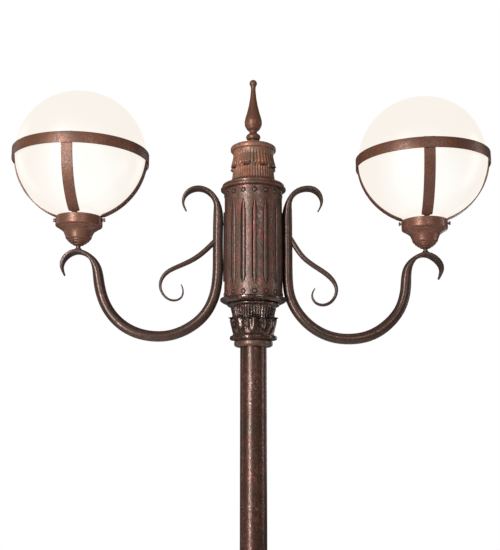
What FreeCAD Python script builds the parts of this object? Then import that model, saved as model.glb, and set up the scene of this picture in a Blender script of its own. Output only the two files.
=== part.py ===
import FreeCAD
import Part
import math
import os
import re
import Sketcher
from FreeCAD import Placement, Rotation, Vector

# Two-light street lamp: a round post on an anchor plate, a fluted drum with two scroll arms, and on each
# arm a lit opal globe held in a strap cage. The frame is +Z up with its origin at the centre of the base
# on the ground. The arms lie along X and the hand hole faces +Y. All sizes are millimetres.

doc = FreeCAD.newDocument("street_lamp")
sheet = doc.addObject("Spreadsheet::Sheet", "sizes")

# ---------------------------------------------------------------- driving sizes
SIZES = {
    # post and base
    "post_r": (38.1, "outside radius of the steel post"),
    "post_wall": (3.0, "wall of the post"),
    "shaft_top": (1630.0, "height of the slip collar's underside"),
    "plate_r": (150.0, "radius of the anchor plate"),
    "plate_thick": (16.0, "thickness of the anchor plate"),
    "anchor_circle": (220.0, "diameter of the anchor bolt circle"),
    "anchor_hole_r": (9.5, "radius of an anchor hole"),
    "conduit_r": (30.0, "radius of the cable hole in the plate"),
    "cover_r": (168.0, "radius of the base cover's foot"),
    "cover_high": (300.0, "height of the base cover"),
    "cover_wall": (6.0, "wall of the base cover"),
    "slide_gap": (0.3, "radial gap where one piece slides in or on another"),
    "grub_r": (3.0, "radius of a grub screw"),
    # hand hole
    "door_z": (460.0, "height of the middle of the hand hole"),
    "hole_high": (110.0, "height of the hand hole"),
    "hole_wide": (44.0, "width of the hand hole"),
    "hole_corner": (12.0, "corner radius of the hand hole"),
    "door_lap": (14.0, "how far the door laps the hole at its top and bottom"),
    "door_side": (6.0, "how far the door laps the hole at its sides"),
    "door_thick": (2.5, "thickness of the door"),
    "door_screw_r": (2.5, "radius of a door screw"),
    # capitals, drum and crown
    "neck_r": (55.5, "radius of the slip collar"),
    "neck_high": (20.0, "height of the slip collar"),
    "capital_high": (105.0, "height of a capital casting"),
    "fillet_in": (7.6, "how far inside the drum's face the bead beside it lies"),
    "bell_in": (12.0, "how far the capital's bell lies inside that bead"),
    "waist_in": (15.5, "the same at the leaf tips"),
    "leaf_in": (9.5, "the same for the leaf tips themselves"),
    "foot_in": (18.2, "the same at the foot of the leaves"),
    "collar_in": (9.4, "the same for the end collar"),
    "collar_high": (14.0, "height of the capital's end collar"),
    "rim_out": (11.7, "how far the drum's end rims stand out from it"),
    "rim_high": (10.0, "thickness of a drum end rim"),
    "lid_out": (6.1, "how far the band on the drum's lid stands out"),
    "lid_high": (22.0, "height of the band on the drum's lid"),
    "drum_r": (84.6, "outside radius of the drum"),
    "drum_wall": (7.0, "wall of the drum"),
    "drum_high": (325.0, "height of the drum"),
    "flute_count": (16, "flutes round the drum"),
    "flute_wide": (17.0, "width of a flute"),
    "flute_deep": (3.0, "depth of a flute"),
    "flute_end": (40.0, "distance from the drum's ends to the flute tips"),
    "flute_tip": (26.0, "length of a flute's pointed end"),
    "stud_end": (15.0, "distance from the drum's ends to the studs"),
    "stud_r": (4.6, "radius of a round stud"),
    "stud_moat": (2.2, "width of the groove round a stud"),
    "stud_deep": (1.5, "depth of the groove round a stud"),
    "crown_r": (60.0, "radius of the crown cap"),
    "crown_high": (8.0, "height of the crown cap"),
    "spigot_high": (12.0, "length of the crown cap's spigot in the capital"),
    "finial_high": (204.0, "height of the finial"),
    "finial_r": (26.3, "largest radius of the finial"),
    "ball_r": (11.4, "radius of the finial's ball"),
    "rod_r": (6.0, "radius of the tie rod"),
    "rod_hold": (34.0, "length of rod inside the finial"),
    "rod_tail": (16.0, "length of rod below the plug"),
    "nut_flat": (19.0, "width across flats of a tie rod nut"),
    "nut_high": (10.0, "height of a tie rod nut"),
    "plug_high": (20.0, "thickness of the plug in the post's top"),
    # arms
    "arm_gap": (2.6, "gap between the drum and an arm's upright"),
    "tube_r": (15.3, "outside radius of the arm tube"),
    "tube_wall": (3.0, "wall of the arm tube"),
    "bight_r": (174.0, "centre line radius of the bight"),
    "lead_r": (110.0, "radius where the tube turns out to its hook"),
    "lead_turn": (24.0, "turn of that lead in degrees"),
    "rise_r": (53.0, "radius from the lead to the hook's top"),
    "fall_r": (46.0, "radius from the hook's top to its tip"),
    "fall_turn": (120.0, "turn from the hook's top to its tip in degrees"),
    "top_rise_r": (51.0, "radius up to the top of the upper hook"),
    "top_fall_r": (49.0, "radius from the upper hook's top to its tip"),
    "top_fall_turn": (110.0, "turn from the upper hook's top to its tip in degrees"),
    "strap_wide": (42.0, "width of the flattened hook"),
    "strap_thick": (10.0, "thickness of the flattened hook"),
    "tip_wide": (14.0, "width at a hook's tip"),
    "tip_thick": (5.0, "thickness at a hook's tip"),
    "seat_cut": (1.2, "depth of the flat at the hook's top"),
    "bar_wide": (10.0, "width of a mounting bar"),
    "bar_in_low": (15.0, "distance of a mounting bar's lower end from its flute's end"),
    "bar_in_top": (25.0, "distance of its upper end from the flute's end"),
    "bar_below": (10.0, "how far the bar reaches below the straight upright"),
    "bar_short": (22.0, "how far the upright reaches above the bar"),
    "bar_screw_r": (4.0, "radius of a mounting screw"),
    "bar_screw_end": (35.0, "distance of the mounting screws from the bar's ends"),
    "bar_screw_flat": (13.0, "width across flats of a mounting screw's head"),
    "bar_screw_head": (5.3, "height of a mounting screw's head"),
    "scroll_r": (7.75, "radius of the scroll bar at its weld"),
    "scroll_tip_r": (1.5, "radius of the scroll bar at its tip"),
    "scroll_up": (115.0, "height of the scroll's weld on the upright"),
    "scroll_run": (47.0, "straight stretch of a scroll"),
    "left_scroll_fall": (46.0, "slope of the left scroll at its weld in degrees"),
    "right_scroll_fall": (55.0, "slope of the right scroll at its weld in degrees"),
    # lamp heads
    "stem_r": (6.6, "radius of the threaded stem"),
    "stem_bore": (4.0, "radius of the stem's bore"),
    "stem_show": (14.0, "length of stem between hook and fitter"),
    "stem_foot_r": (10.5, "radius of the stem's foot"),
    "stem_foot_high": (5.0, "height of the stem's foot"),
    "stem_nut_flat": (19.0, "width across flats of the stem's nut"),
    "stem_nut_high": (5.0, "height of the stem's nut"),
    "neck_gap": (7.3, "gap between the globe's neck and the cage's tongues"),
    "fitter_wall": (3.0, "wall of the fitter"),
    "fitter_band": (24.0, "height of the fitter's rim"),
    "fitter_high": (83.0, "height of the fitter"),
    "fitter_floor": (14.0, "height of the fitter's floor"),
    "globe_r": (190.5, "outside radius of the globe"),
    "globe_wall": (4.0, "wall of the globe"),
    "rib_over": (0.34, "how far the ribs clear the rim's edge"),
    "globe_neck_r": (54.0, "outside radius of the globe's neck"),
    "strap_w": (31.75, "width of the cage's flat strap"),
    "strap_t": (3.2, "thickness of the cage's flat strap"),
    "cage_gap": (1.9, "gap between the globe and the ribs"),
    "ring_drop": (7.0, "how far the ring's middle lies below the globe's centre"),
    "rib_count": (4, "ribs of a cage"),
    "tongue_w": (15.0, "width of a rib's tongue inside the rim"),
    "tongue_drop": (16.0, "length of a rib's tongue below the rim's edge"),
    "tongue_turn": (3.5, "turn at the rib's foot where it is only as wide as its tongue, in degrees"),
    "thumb_r": (2.5, "radius of a thumb screw's shank"),
    "thumb_head_r": (5.5, "radius of a thumb screw's head"),
    "thumb_head_t": (5.0, "thickness of a thumb screw's head"),
    "thumb_clear": (3.0, "gap between a thumb screw's head and the rim"),
    "thumb_z": (9.0, "depth of the thumb screws below the rim's edge"),
    "tip_gap": (0.3, "gap between a thumb screw's tip and the neck"),
    "left_turn": (-3.2, "turn of the left head about its stem in degrees"),
    "right_turn": (-7.8, "turn of the right head about its stem in degrees"),
    "holder_wall": (6.4, "wall of the lampholder round the screw shell"),
    "holder_high": (52.0, "height of the lampholder"),
    "holder_base": (16.0, "height of the lampholder's solid base"),
    "shell_wall": (1.0, "wall of the screw shell"),
    "contact_r": (4.0, "radius of the centre contact"),
    "contact_high": (3.0, "height of the centre contact"),
    "cap_r": (13.3, "radius of the bulb's screw cap"),
    "cap_high": (27.0, "height of the bulb's screw cap"),
    "bulb_r": (30.0, "radius of the bulb"),
    "bulb_rise": (50.0, "height of the bulb's centre above its cap"),
}
for row, (name, (value, note)) in enumerate(SIZES.items(), start=1):
    sheet.set(f"A{row}", note)
    sheet.set(f"B{row}", str(value))
    sheet.setAlias(f"B{row}", name)
doc.recompute()

# ---------------------------------------------------------------- places worked out from the sizes
PLACES = {
    "rim_r": "drum_r + rim_out",
    "lid_r": "drum_r + lid_out",
    "fillet_r": "drum_r - fillet_in",
    "bell_r": "fillet_r - bell_in",
    "waist_r": "fillet_r - waist_in",
    "leaf_r": "fillet_r - leaf_in",
    "foot_r": "fillet_r - foot_in",
    "collar_r": "fillet_r - collar_in",
    "drum_low": "shaft_top + neck_high + capital_high + rim_high",
    "drum_top": "shaft_top + neck_high + capital_high + rim_high + drum_high",
    "capital_up": "shaft_top + neck_high + capital_high + 2 * rim_high + drum_high + lid_high",
    "crown_low": "shaft_top + neck_high + 2 * capital_high + 2 * rim_high + drum_high + lid_high",
    "plug_top": "shaft_top + neck_high + capital_high + rim_high + plug_high",
    "slide_bore": "post_r + slide_gap",
    "bar_low": "drum_low + flute_end + bar_in_low",
    "bar_high": "drum_high - 2 * flute_end - bar_in_low - bar_in_top",
    "arm_x": "drum_r + arm_gap + tube_r",
    "arm_low": "bar_low + bar_below",
    "upright": "bar_high - bar_below + bar_short",
    "scroll_z": "arm_low + scroll_up",
    "reach": "arm_x + 2 * bight_r + lead_r * (1 - cos(lead_turn * 1deg)) + rise_r * cos(lead_turn * 1deg)",
    "hook_seat": "arm_low + lead_r * sin(lead_turn * 1deg) + rise_r * (1 - sin(lead_turn * 1deg))"
                 " + strap_thick / 2 - seat_cut",
    "strap_seat": "strap_thick - seat_cut",
    "fitter_r": "globe_neck_r + neck_gap + strap_t + fitter_wall",
    "fitter_low": "stem_show",
    "fitter_top": "stem_show + fitter_high",
    "shelf_z": "stem_show + fitter_high - fitter_band + fitter_wall",
    "globe_z": "stem_show + fitter_high + globe_rise",
    "holder_z": "stem_show + fitter_floor + stem_nut_high",
    "shell_z": "stem_show + fitter_floor + stem_nut_high + holder_base",
    "cap_z": "stem_show + fitter_floor + stem_nut_high + holder_base + contact_high + slide_gap",
    "cage_r": "globe_r + cage_gap + 2 * strap_t",
    "rib_r": "cage_r - strap_t",
    "globe_rise": "sqrt((rib_r) ^ 2 - (fitter_r - fitter_wall) ^ 2) + rib_over",
    "neck_end": "globe_z - sqrt(globe_r ^ 2 - globe_neck_r ^ 2)",
    "shell_r": "cap_r + slide_gap + shell_wall",
    "holder_r": "shell_r + holder_wall",
}


def bind(text):
    """Writes a formula for FreeCAD: places become their own formulas and sizes name their cells."""
    while any(re.search(rf"\b{place}\b", text) for place in PLACES):
        for place, formula in PLACES.items():
            text = re.sub(rf"\b{place}\b", f"({formula})", text)
    return re.sub(r"\b[a-z][a-z_]*\b", lambda word: f"sizes.{word[0]}" if word[0] in SIZES else word[0], text)


def size(text):
    """The value in millimetres of a formula in the sheet's names."""
    return float(sheet.evalExpression(bind(str(text))))


# ---------------------------------------------------------------- features shared by the sub-parts
def new_body(name):
    body = doc.addObject("PartDesign::Body", name)
    body.Label = name
    return body


def origin_part(body, role):
    return next(feature for feature in body.Origin.OriginFeatures if feature.Role == role)


def new_sketch(body, plane="XZ_Plane", offset="0"):
    """A sketch on one of the body's own planes, moved off it by a formula."""
    sketch = body.newObject("Sketcher::SketchObject", f"{body.Name}_sketch")
    sketch.AttachmentSupport = [(origin_part(body, plane), "")]
    sketch.MapMode = "FlatFace"
    sketch.setExpression("AttachmentOffset.Base.z", bind(offset))
    return sketch


def fix(sketch, kind, *place, formula=None):
    """Adds a constraint, and binds its value to a formula if it has one."""
    value = [] if formula is None else [size(formula)]
    index = sketch.addConstraint(Sketcher.Constraint(kind, *place, *value))
    if formula is not None:
        sketch.setExpression(f"Constraints[{index}]", bind(formula))


def pin_point(sketch, geometry, end, x, y):
    """Ties a point to its two formulas, or to an axis where one of them is nought."""
    for kind, axis, formula in (("DistanceX", -2, x), ("DistanceY", -1, y)):
        if formula == "0":
            sketch.addConstraint(Sketcher.Constraint("PointOnObject", geometry, end, axis))
        else:
            fix(sketch, kind, -1, 1, geometry, end, formula=formula)


def draw_outline(sketch, corners):
    """Draws a closed outline. A corner is (x, y), or (x, y, radius, turn) where an arc leads to it:
    turn is 1 for an arc that bends left on the way and -1 for one that bends right."""
    spots = [Vector(size(corner[0]), size(corner[1]), 0) for corner in corners]
    ends = []
    for index, corner in enumerate(corners):
        start, stop = spots[index - 1], spots[index]
        if len(corner) == 2:
            geometry = sketch.addGeometry(Part.LineSegment(start, stop), False)
            ends.append((geometry, 1, 2))
            continue
        radius, turn = size(corner[2]), corner[3]
        chord = stop - start
        rise = math.sqrt(max(radius**2 - (chord.Length / 2) ** 2, 0.0))
        centre = (start + stop) / 2 + Vector(-chord.y, chord.x, 0).normalize() * rise * turn
        first, last = (start, stop) if turn > 0 else (stop, start)
        angles = [math.atan2(spot.y - centre.y, spot.x - centre.x) for spot in (first, last)]
        circle = Part.Circle(centre, Vector(0, 0, 1), radius)
        geometry = sketch.addGeometry(Part.ArcOfCircle(circle, *angles), False)
        ends.append((geometry, 1, 2) if turn > 0 else (geometry, 2, 1))
    for index, corner in enumerate(corners):
        here, following = ends[index], ends[(index + 1) % len(ends)]
        sketch.addConstraint(Sketcher.Constraint("Coincident", here[0], here[2], following[0], following[1]))
        pin_point(sketch, here[0], here[2], corner[0], corner[1])
        if len(corner) == 4:
            fix(sketch, "Radius", here[0], formula=corner[2])


def draw_circle(sketch, x, y, radius):
    geometry = sketch.addGeometry(Part.Circle(Vector(size(x), size(y), 0), Vector(0, 0, 1), size(radius)))
    pin_point(sketch, geometry, 3, x, y)
    fix(sketch, "Radius", geometry, formula=radius)


def turned(name, corners):
    """A body turned about its own Z axis from an outline of (radius, height) corners."""
    body = new_body(name)
    sketch = new_sketch(body)
    draw_outline(sketch, corners)
    turning = body.newObject("PartDesign::Revolution", f"{name}_turning")
    turning.Profile = sketch
    turning.ReferenceAxis = (sketch, ["V_Axis"])
    turning.Angle = 360
    return body


def swept_along(body, kind, sketch, length, midplane=False, backwards=False):
    """Pads or pockets a sketch by a formula's length."""
    feature = body.newObject(f"PartDesign::{kind}", f"{body.Name}_{kind.lower()}")
    feature.Profile = sketch
    feature.setExpression("Length", bind(length))
    feature.Midplane = midplane
    feature.Reversed = backwards
    return feature


def repeated(body, features, count):
    """Repeats features round the body's Z axis."""
    pattern = body.newObject("PartDesign::PolarPattern", f"{body.Name}_pattern")
    pattern.Originals = features
    pattern.Axis = (origin_part(body, "Z_Axis"), [""])
    pattern.Angle = 360
    pattern.setExpression("Occurrences", bind(count))
    body.Tip = pattern


def draw_round_box(sketch, middle, wide, high, corner):
    """A rectangle with round corners, centred on the sketch's upright axis at a height."""
    x, z, r = f"({wide}) / 2", f"({high}) / 2", corner
    draw_outline(sketch, [
        (x, f"{middle} - {z} + {r}", r, 1),
        (x, f"{middle} + {z} - {r}"),
        (f"{x} - {r}", f"{middle} + {z}", r, 1),
        (f"{r} - {x}", f"{middle} + {z}"),
        (f"-{x}", f"{middle} + {z} - {r}", r, 1),
        (f"-{x}", f"{middle} - {z} + {r}"),
        (f"{r} - {x}", f"{middle} - {z}", r, 1),
        (f"{x} - {r}", f"{middle} - {z}"),
    ])


def standing(name, low, height, draw):
    """A body whose plan is drawn by a function and which stands at a height."""
    body = new_body(name)
    sketch = new_sketch(body, "XY_Plane", low)
    draw(sketch)
    swept_along(body, "Pad", sketch, height)
    return body


def radial_hole(body, height, radius, start, reach, turn=0):
    """A round hole along X between two distances from the axis; a reach below the start points to -X."""
    sketch = new_sketch(body, "YZ_Plane", start)
    draw_circle(sketch, "0", height, radius)
    return swept_along(body, "Pocket", sketch, f"({reach}) - ({start})", backwards=True)


def check_cut(body, before):
    """Stops if a cut feature left the body's volume as it was."""
    doc.recompute()
    if body.Shape.Volume >= before - 0.01:
        raise RuntimeError(f"{body.Label}: a cut removed nothing")


def shaped(name, shape):
    """A sub-part whose shape is made with Part's own functions."""
    feature = doc.addObject("Part::Feature", name)
    feature.Label = name
    feature.Shape = shape
    return feature


def spun(shape, degrees):
    return shape.rotated(Vector(), Vector(0, 0, 1), degrees)


def rod_along_x(start, length, radius, height):
    return Part.makeCylinder(radius, length, Vector(start, 0, height), Vector(1, 0, 0))


def round_the_axis(shape, count):
    """Evenly spaced copies of a shape round the Z axis, as separate solids."""
    return Part.makeCompound([spun(shape, 360 * index / count) for index in range(count)])


# ---------------------------------------------------------------- base and post
def make_base_plate():
    body = new_body("base_plate")
    sketch = new_sketch(body, "XY_Plane")
    draw_circle(sketch, "0", "0", "plate_r")
    draw_circle(sketch, "0", "0", "conduit_r")
    swept_along(body, "Pad", sketch, "plate_thick")
    holes = new_sketch(body, "XY_Plane")
    anchor_at = ("anchor_circle / 2 * cos(45deg)", "anchor_circle / 2 * sin(45deg)")
    draw_circle(holes, *anchor_at, "anchor_hole_r")
    hole = swept_along(body, "Pocket", holes, "2 * plate_thick + 2", midplane=True)
    repeated(body, [hole], "4")
    return body


def make_post_tube():
    """The tube stands on the plate and ends inside the drum. It has a hand hole near the base."""
    body = new_body("post_tube")
    sketch = new_sketch(body, "XY_Plane", "plate_thick")
    draw_circle(sketch, "0", "0", "post_r")
    draw_circle(sketch, "0", "0", "post_r - post_wall")
    swept_along(body, "Pad", sketch, "plug_top - plate_thick")
    doc.recompute()
    whole = body.Shape.Volume
    hole = new_sketch(body)
    draw_round_box(hole, "door_z", "hole_wide", "hole_high", "hole_corner")
    swept_along(body, "Pocket", hole, "post_r + 5")
    taps = new_sketch(body)
    for way in ("-", "+"):
        draw_circle(taps, "0", f"door_z {way} (hole_high + door_lap) / 2", "door_screw_r")
    swept_along(body, "Pocket", taps, "post_r + 5")
    check_cut(body, whole)
    return body


def make_base_cover():
    """A cast bell over the plate and its nuts, with a foot band, an ogee and a beaded neck."""
    shoulder_z, waist_z = "cover_high * 0.4", "cover_high * 0.76"
    return turned("base_cover", [
        ("cover_r", "0"),
        ("cover_r", "28"),
        ("cover_r - 8", "36", "8", 1),
        ("cover_r - 12", "48"),
        ("post_r + 64", shoulder_z, "60", 1),
        ("post_r + 26", waist_z, "180", -1),
        ("post_r + 30", f"{waist_z} + 12", "9", 1),
        ("post_r + 20", f"{waist_z} + 16"),
        ("post_r + 15", "cover_high - 22", "90", -1),
        ("post_r + 20", "cover_high - 20"),
        ("post_r + 20", "cover_high - 6", "9", 1),
        ("post_r + 14", "cover_high"),
        ("slide_bore", "cover_high"),
        ("slide_bore", "cover_high - 34"),
        ("post_r + 26 - cover_wall", waist_z),
        ("post_r + 64 - cover_wall", f"{shoulder_z} - cover_wall / 2", "180", 1),
        ("plate_r + 3", "44"),
        ("plate_r + 3", "0"),
    ])


def make_grub_screws(name, outer, height, count):
    """Grub screws that lock a casting on the post, flush with its outside."""
    screw = rod_along_x(size("post_r"), size(outer) - size("post_r"), size("grub_r"), size(height))
    return shaped(name, round_the_axis(screw, count))


def drill_for_grubs(body, height, count):
    doc.recompute()
    whole = body.Shape.Volume
    hole = radial_hole(body, height, "grub_r", "post_r - 5", "cover_r")
    repeated(body, [hole], str(count))
    check_cut(body, whole)
    return body


def make_access_door():
    """A curved plate that laps the hand hole and follows the post."""
    body = new_body("access_door")
    ring = new_sketch(body, "XY_Plane", "door_z - hole_high / 2 - door_lap")
    draw_circle(ring, "0", "0", "post_r + door_thick")
    draw_circle(ring, "0", "0", "post_r")
    swept_along(body, "Pad", ring, "hole_high + 2 * door_lap")
    doc.recompute()
    whole = body.Shape.Volume
    # everything outside the door's own outline is cut away, on the back as well as beside it
    waste = new_sketch(body)
    draw_round_box(waste, "door_z", "2 * post_r + 20", "hole_high + 2 * door_lap + 20", "4")
    draw_round_box(waste, "door_z", "hole_wide + 2 * door_side", "hole_high + 2 * door_lap", "hole_corner")
    swept_along(body, "Pocket", waste, "post_r + 10")
    back = new_sketch(body)
    draw_round_box(back, "door_z", "2 * post_r + 20", "hole_high + 2 * door_lap + 20", "4")
    swept_along(body, "Pocket", back, "post_r + 10", backwards=True)
    holes = new_sketch(body)
    for way in ("-", "+"):
        draw_circle(holes, "0", f"door_z {way} (hole_high + door_lap) / 2", "door_screw_r")
    swept_along(body, "Pocket", holes, "post_r + 10")
    check_cut(body, whole)
    return body


def make_door_screws():
    """Two cheese-head screws that hold the door, tapped into the post."""
    screws = []
    face = size("post_r + door_thick")
    for way in (-1, 1):
        height = size("door_z") + way * size("(hole_high + door_lap) / 2")
        shank = rod_along_x(size("post_r - post_wall - 2"), size("post_wall + door_thick + 2"),
                            size("door_screw_r"), height)
        head = rod_along_x(face, 2.6, size("door_screw_r * 1.9"), height)
        screws.append(spun(shank.fuse(head).removeSplitter(), 90))
    return shaped("door_screws", Part.makeCompound(screws))


# ---------------------------------------------------------------- drum, capitals and finial
def make_slip_collar():
    """A beaded ring that is locked on the post and carries the stack of castings."""
    body = turned("slip_collar", [
        ("slide_bore", "0"),
        ("neck_r - 6", "0"),
        ("neck_r - 6", "neck_high", "neck_high * 0.62", 1),
        ("slide_bore", "neck_high"),
    ])
    body.setExpression("Placement.Base.z", bind("shaft_top"))
    return drill_for_grubs(body, "neck_high / 2", 3)


def make_capital(name, foot, upside_down):
    """A bell casting with a ring of leaves. The upper one is the lower one turned over."""
    body = turned(name, [
        ("slide_bore", "0"),
        ("fillet_r - 3", "0"),
        ("fillet_r - 3", "9", "5.2", 1),
        ("bell_r", "13"),
        ("waist_r", "32", "60", -1),
        ("leaf_r", "38", "8", -1),
        ("leaf_r - 1.5", "50", "12", 1),
        ("foot_r", "86", "120", -1),
        ("foot_r", "capital_high - collar_high"),
        ("collar_r - 2", "capital_high - collar_high"),
        ("collar_r - 2", "capital_high", "collar_high * 0.72", 1),
        ("slide_bore", "capital_high"),
    ])
    body.setExpression("Placement.Base.z", bind(foot))
    if upside_down:
        body.Placement = Placement(body.Placement.Base, Rotation(Vector(1, 0, 0), 180))
    return body


def make_drum_floor():
    return turned("drum_floor", [
        ("slide_bore", "drum_low - rim_high"),
        ("rim_r - 2", "drum_low - rim_high"),
        ("rim_r", "drum_low - rim_high + 2", "2", 1),
        ("rim_r", "drum_low - 2"),
        ("rim_r - 2", "drum_low", "2", 1),
        ("slide_bore", "drum_low"),
    ])


def make_drum_lid():
    """The lid has the same rim as the floor, then a cove and a band under the upper capital."""
    return turned("drum_lid", [
        ("rod_r + slide_gap", "drum_top"),
        ("rim_r - 2", "drum_top"),
        ("rim_r", "drum_top + 2", "2", 1),
        ("rim_r", "drum_top + rim_high - 2"),
        ("rim_r - 2", "drum_top + rim_high", "2", 1),
        ("lid_r - 4", "drum_top + rim_high"),
        ("lid_r - 4", "drum_top + rim_high + 4"),
        ("lid_r", "drum_top + rim_high + 6"),
        ("lid_r", "drum_top + rim_high + lid_high - 2"),
        ("lid_r - 2", "drum_top + rim_high + lid_high", "2", 1),
        ("rod_r + slide_gap", "drum_top + rim_high + lid_high"),
    ])


def make_drum():
    """A cast tube with a ring of flutes that have pointed ends, and a stud beyond each end of a flute."""
    body = standing("drum", "drum_low", "drum_high", lambda sketch: (
        draw_circle(sketch, "0", "0", "drum_r"), draw_circle(sketch, "0", "0", "drum_r - drum_wall")))
    doc.recompute()
    whole = body.Shape.Volume
    low, high = "drum_low + flute_end", "drum_top - flute_end"
    flute = new_sketch(body, "XZ_Plane", "drum_r")
    draw_outline(flute, [
        ("flute_wide / 2", f"{low} + flute_tip", "flute_tip * 1.5", 1),
        ("flute_wide / 2", f"{high} - flute_tip"),
        ("0", high, "flute_tip * 1.5", 1),
        ("-flute_wide / 2", f"{high} - flute_tip", "flute_tip * 1.5", 1),
        ("-flute_wide / 2", f"{low} + flute_tip"),
        ("0", low, "flute_tip * 1.5", 1),
    ])
    cuts = [swept_along(body, "Pocket", flute, "2 * flute_deep", midplane=True)]
    moats = new_sketch(body, "XZ_Plane", "drum_r")
    for height in ("drum_low + stud_end", "drum_top - stud_end"):
        draw_circle(moats, "0", height, "stud_r")
        draw_circle(moats, "0", height, "stud_r + stud_moat")
    cuts.append(swept_along(body, "Pocket", moats, "2 * stud_deep", midplane=True))
    # screws for the mounting bars pass through the wall on both sides
    repeated(body, cuts, "flute_count")
    for height in BAR_SCREW_HEIGHTS:
        holes = new_sketch(body, "YZ_Plane")
        draw_circle(holes, "0", height, "bar_screw_r")
        body.Tip = swept_along(body, "Pocket", holes, "3 * drum_r", midplane=True)
    check_cut(body, whole)
    return body


def make_crown_cap():
    return turned("crown_cap", [
        ("rod_r + slide_gap", "crown_low - spigot_high"),
        ("post_r", "crown_low - spigot_high"),
        ("post_r", "crown_low"),
        ("crown_r", "crown_low"),
        ("crown_r - 4", "crown_low + crown_high - 3"),
        ("finial_r", "crown_low + crown_high"),
        ("rod_r + slide_gap", "crown_low + crown_high"),
    ])


def make_finial():
    """A turned finial: foot, bead, urn, slender neck and a ball. It screws on the tie rod."""
    foot = "crown_low + crown_high"
    tip = f"{foot} + finial_high"
    return turned("finial", [
        ("rod_r", foot),
        ("finial_r - 5", foot),
        ("finial_r - 5", f"{foot} + 5"),
        ("13", f"{foot} + 12", "10", -1),
        ("18", f"{foot} + 17"),
        ("18", f"{foot} + 28", "6.2", 1),
        ("11", f"{foot} + 33"),
        ("10.8", f"{foot} + 40"),
        ("finial_r - 1", f"{foot} + 59", "24", -1),
        ("finial_r - 1", f"{foot} + 71", "9", 1),
        ("7.3", f"{tip} - 31", "150", -1),
        ("7.8", f"{tip} - ball_r - sqrt(ball_r ^ 2 - 7.8 ^ 2)"),
        ("ball_r", f"{tip} - ball_r", "ball_r", 1),
        ("0", tip, "ball_r", 1),
        ("0", f"{foot} + rod_hold"),
        ("rod_r", f"{foot} + rod_hold"),
    ])


def make_tie_rod():
    """The rod hangs the finial's pull on the plug in the post's top."""
    low = "plug_top - plug_high - rod_tail"
    return standing("tie_rod", low, f"crown_low + crown_high + rod_hold - ({low})",
                    lambda sketch: draw_circle(sketch, "0", "0", "rod_r"))


def make_post_plug():
    return standing("post_plug", "plug_top - plug_high", "plug_high", lambda sketch: (
        draw_circle(sketch, "0", "0", "post_r - post_wall"), draw_circle(sketch, "0", "0", "rod_r")))


def make_tie_nuts():
    """One nut above the plug and one below it."""
    nuts = []
    for low in ("plug_top", "plug_top - plug_high - nut_high"):
        corner = Vector(size("nut_flat") / math.sqrt(3), 0, size(low))
        corners = [spun(Part.Vertex(corner), 60 * index).Point for index in range(7)]
        prism = Part.Face(Part.makePolygon(corners)).extrude(Vector(0, 0, size("nut_high")))
        nuts.append(prism.cut(Part.makeCylinder(size("rod_r"), size("nut_high"), Vector(0, 0, size(low)))))
    return shaped("tie_nuts", Part.makeCompound(nuts))


# ---------------------------------------------------------------- arms
def trace(x, z, heading, steps, pace=12.0):
    """Stations (x, z, heading, length so far) in the XZ plane, at about an even pace. A step is a straight
    (length,) or an arc (radius, turn): headings and turns are in degrees, and a positive turn is left."""
    stations = [(x, z, heading, 0.0)]
    for step in steps:
        x, z, heading, gone = stations[-1]
        if len(step) == 1:
            length, turn = step[0], 0.0
        else:
            length, turn = step[0] * abs(math.radians(step[1])), step[1]
        count = math.ceil(max(length, abs(turn)) / pace)
        for index in range(1, count + 1):
            share = index / count
            # a chord of an arc lies along the mean of its headings
            mean = math.radians(heading + turn * share / 2)
            half = math.radians(turn * share / 2)
            chord = length * share * (math.sin(half) / half if turn else 1.0)
            stations.append((x + chord * math.cos(mean), z + chord * math.sin(mean), heading + turn * share,
                             gone + length * share))
    return stations


def oval(station, across, wide):
    """An oval wire square to a station: its size in the plane of the arm, then its width along Y."""
    x, z, heading, _ = station
    far = math.radians(heading)
    circle = Part.Wire([Part.makeCircle(1.0)])
    matrix = FreeCAD.Matrix(-math.sin(far) * across / 2, 0, 0, x,
                            0, wide / 2, 0, 0,
                            math.cos(far) * across / 2, 0, 1, z,
                            0, 0, 0, 1)
    return circle.transformGeometry(matrix)


def lofted(stations, sections):
    """A bar along stations; sections are (share of the length, size in plane, width) knots."""
    whole = stations[-1][3]
    wires = []
    for station in stations:
        share = station[3] / whole
        after = next(index for index, knot in enumerate(sections) if knot[0] >= share - 1e-9)
        low, high = sections[max(after - 1, 0)], sections[after]
        blend = 0.0 if high[0] == low[0] else (share - low[0]) / (high[0] - low[0])
        blend = blend * blend * (3 - 2 * blend)
        wires.append(oval(station, *(low[axis] + blend * (high[axis] - low[axis]) for axis in (1, 2))))
    return Part.makeLoft(wires, True, False)


def tube_path(drop=0.0):
    """The upright and the bight as one wire."""
    x, low, r = size("arm_x"), size("arm_low"), size("bight_r")
    top = low + size("upright") - drop
    return Part.Wire([
        Part.makeLine(Vector(x, 0, top), Vector(x, 0, low)),
        Part.Arc(Vector(x, 0, low), Vector(x + r, 0, low - r), Vector(x + 2 * r, 0, low)).toShape(),
    ])


def pipe(path, radius):
    start = path.Edges[0].Vertexes[0].Point
    return path.makePipeShell([Part.Wire([Part.makeCircle(radius, start)])], True, False)


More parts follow.
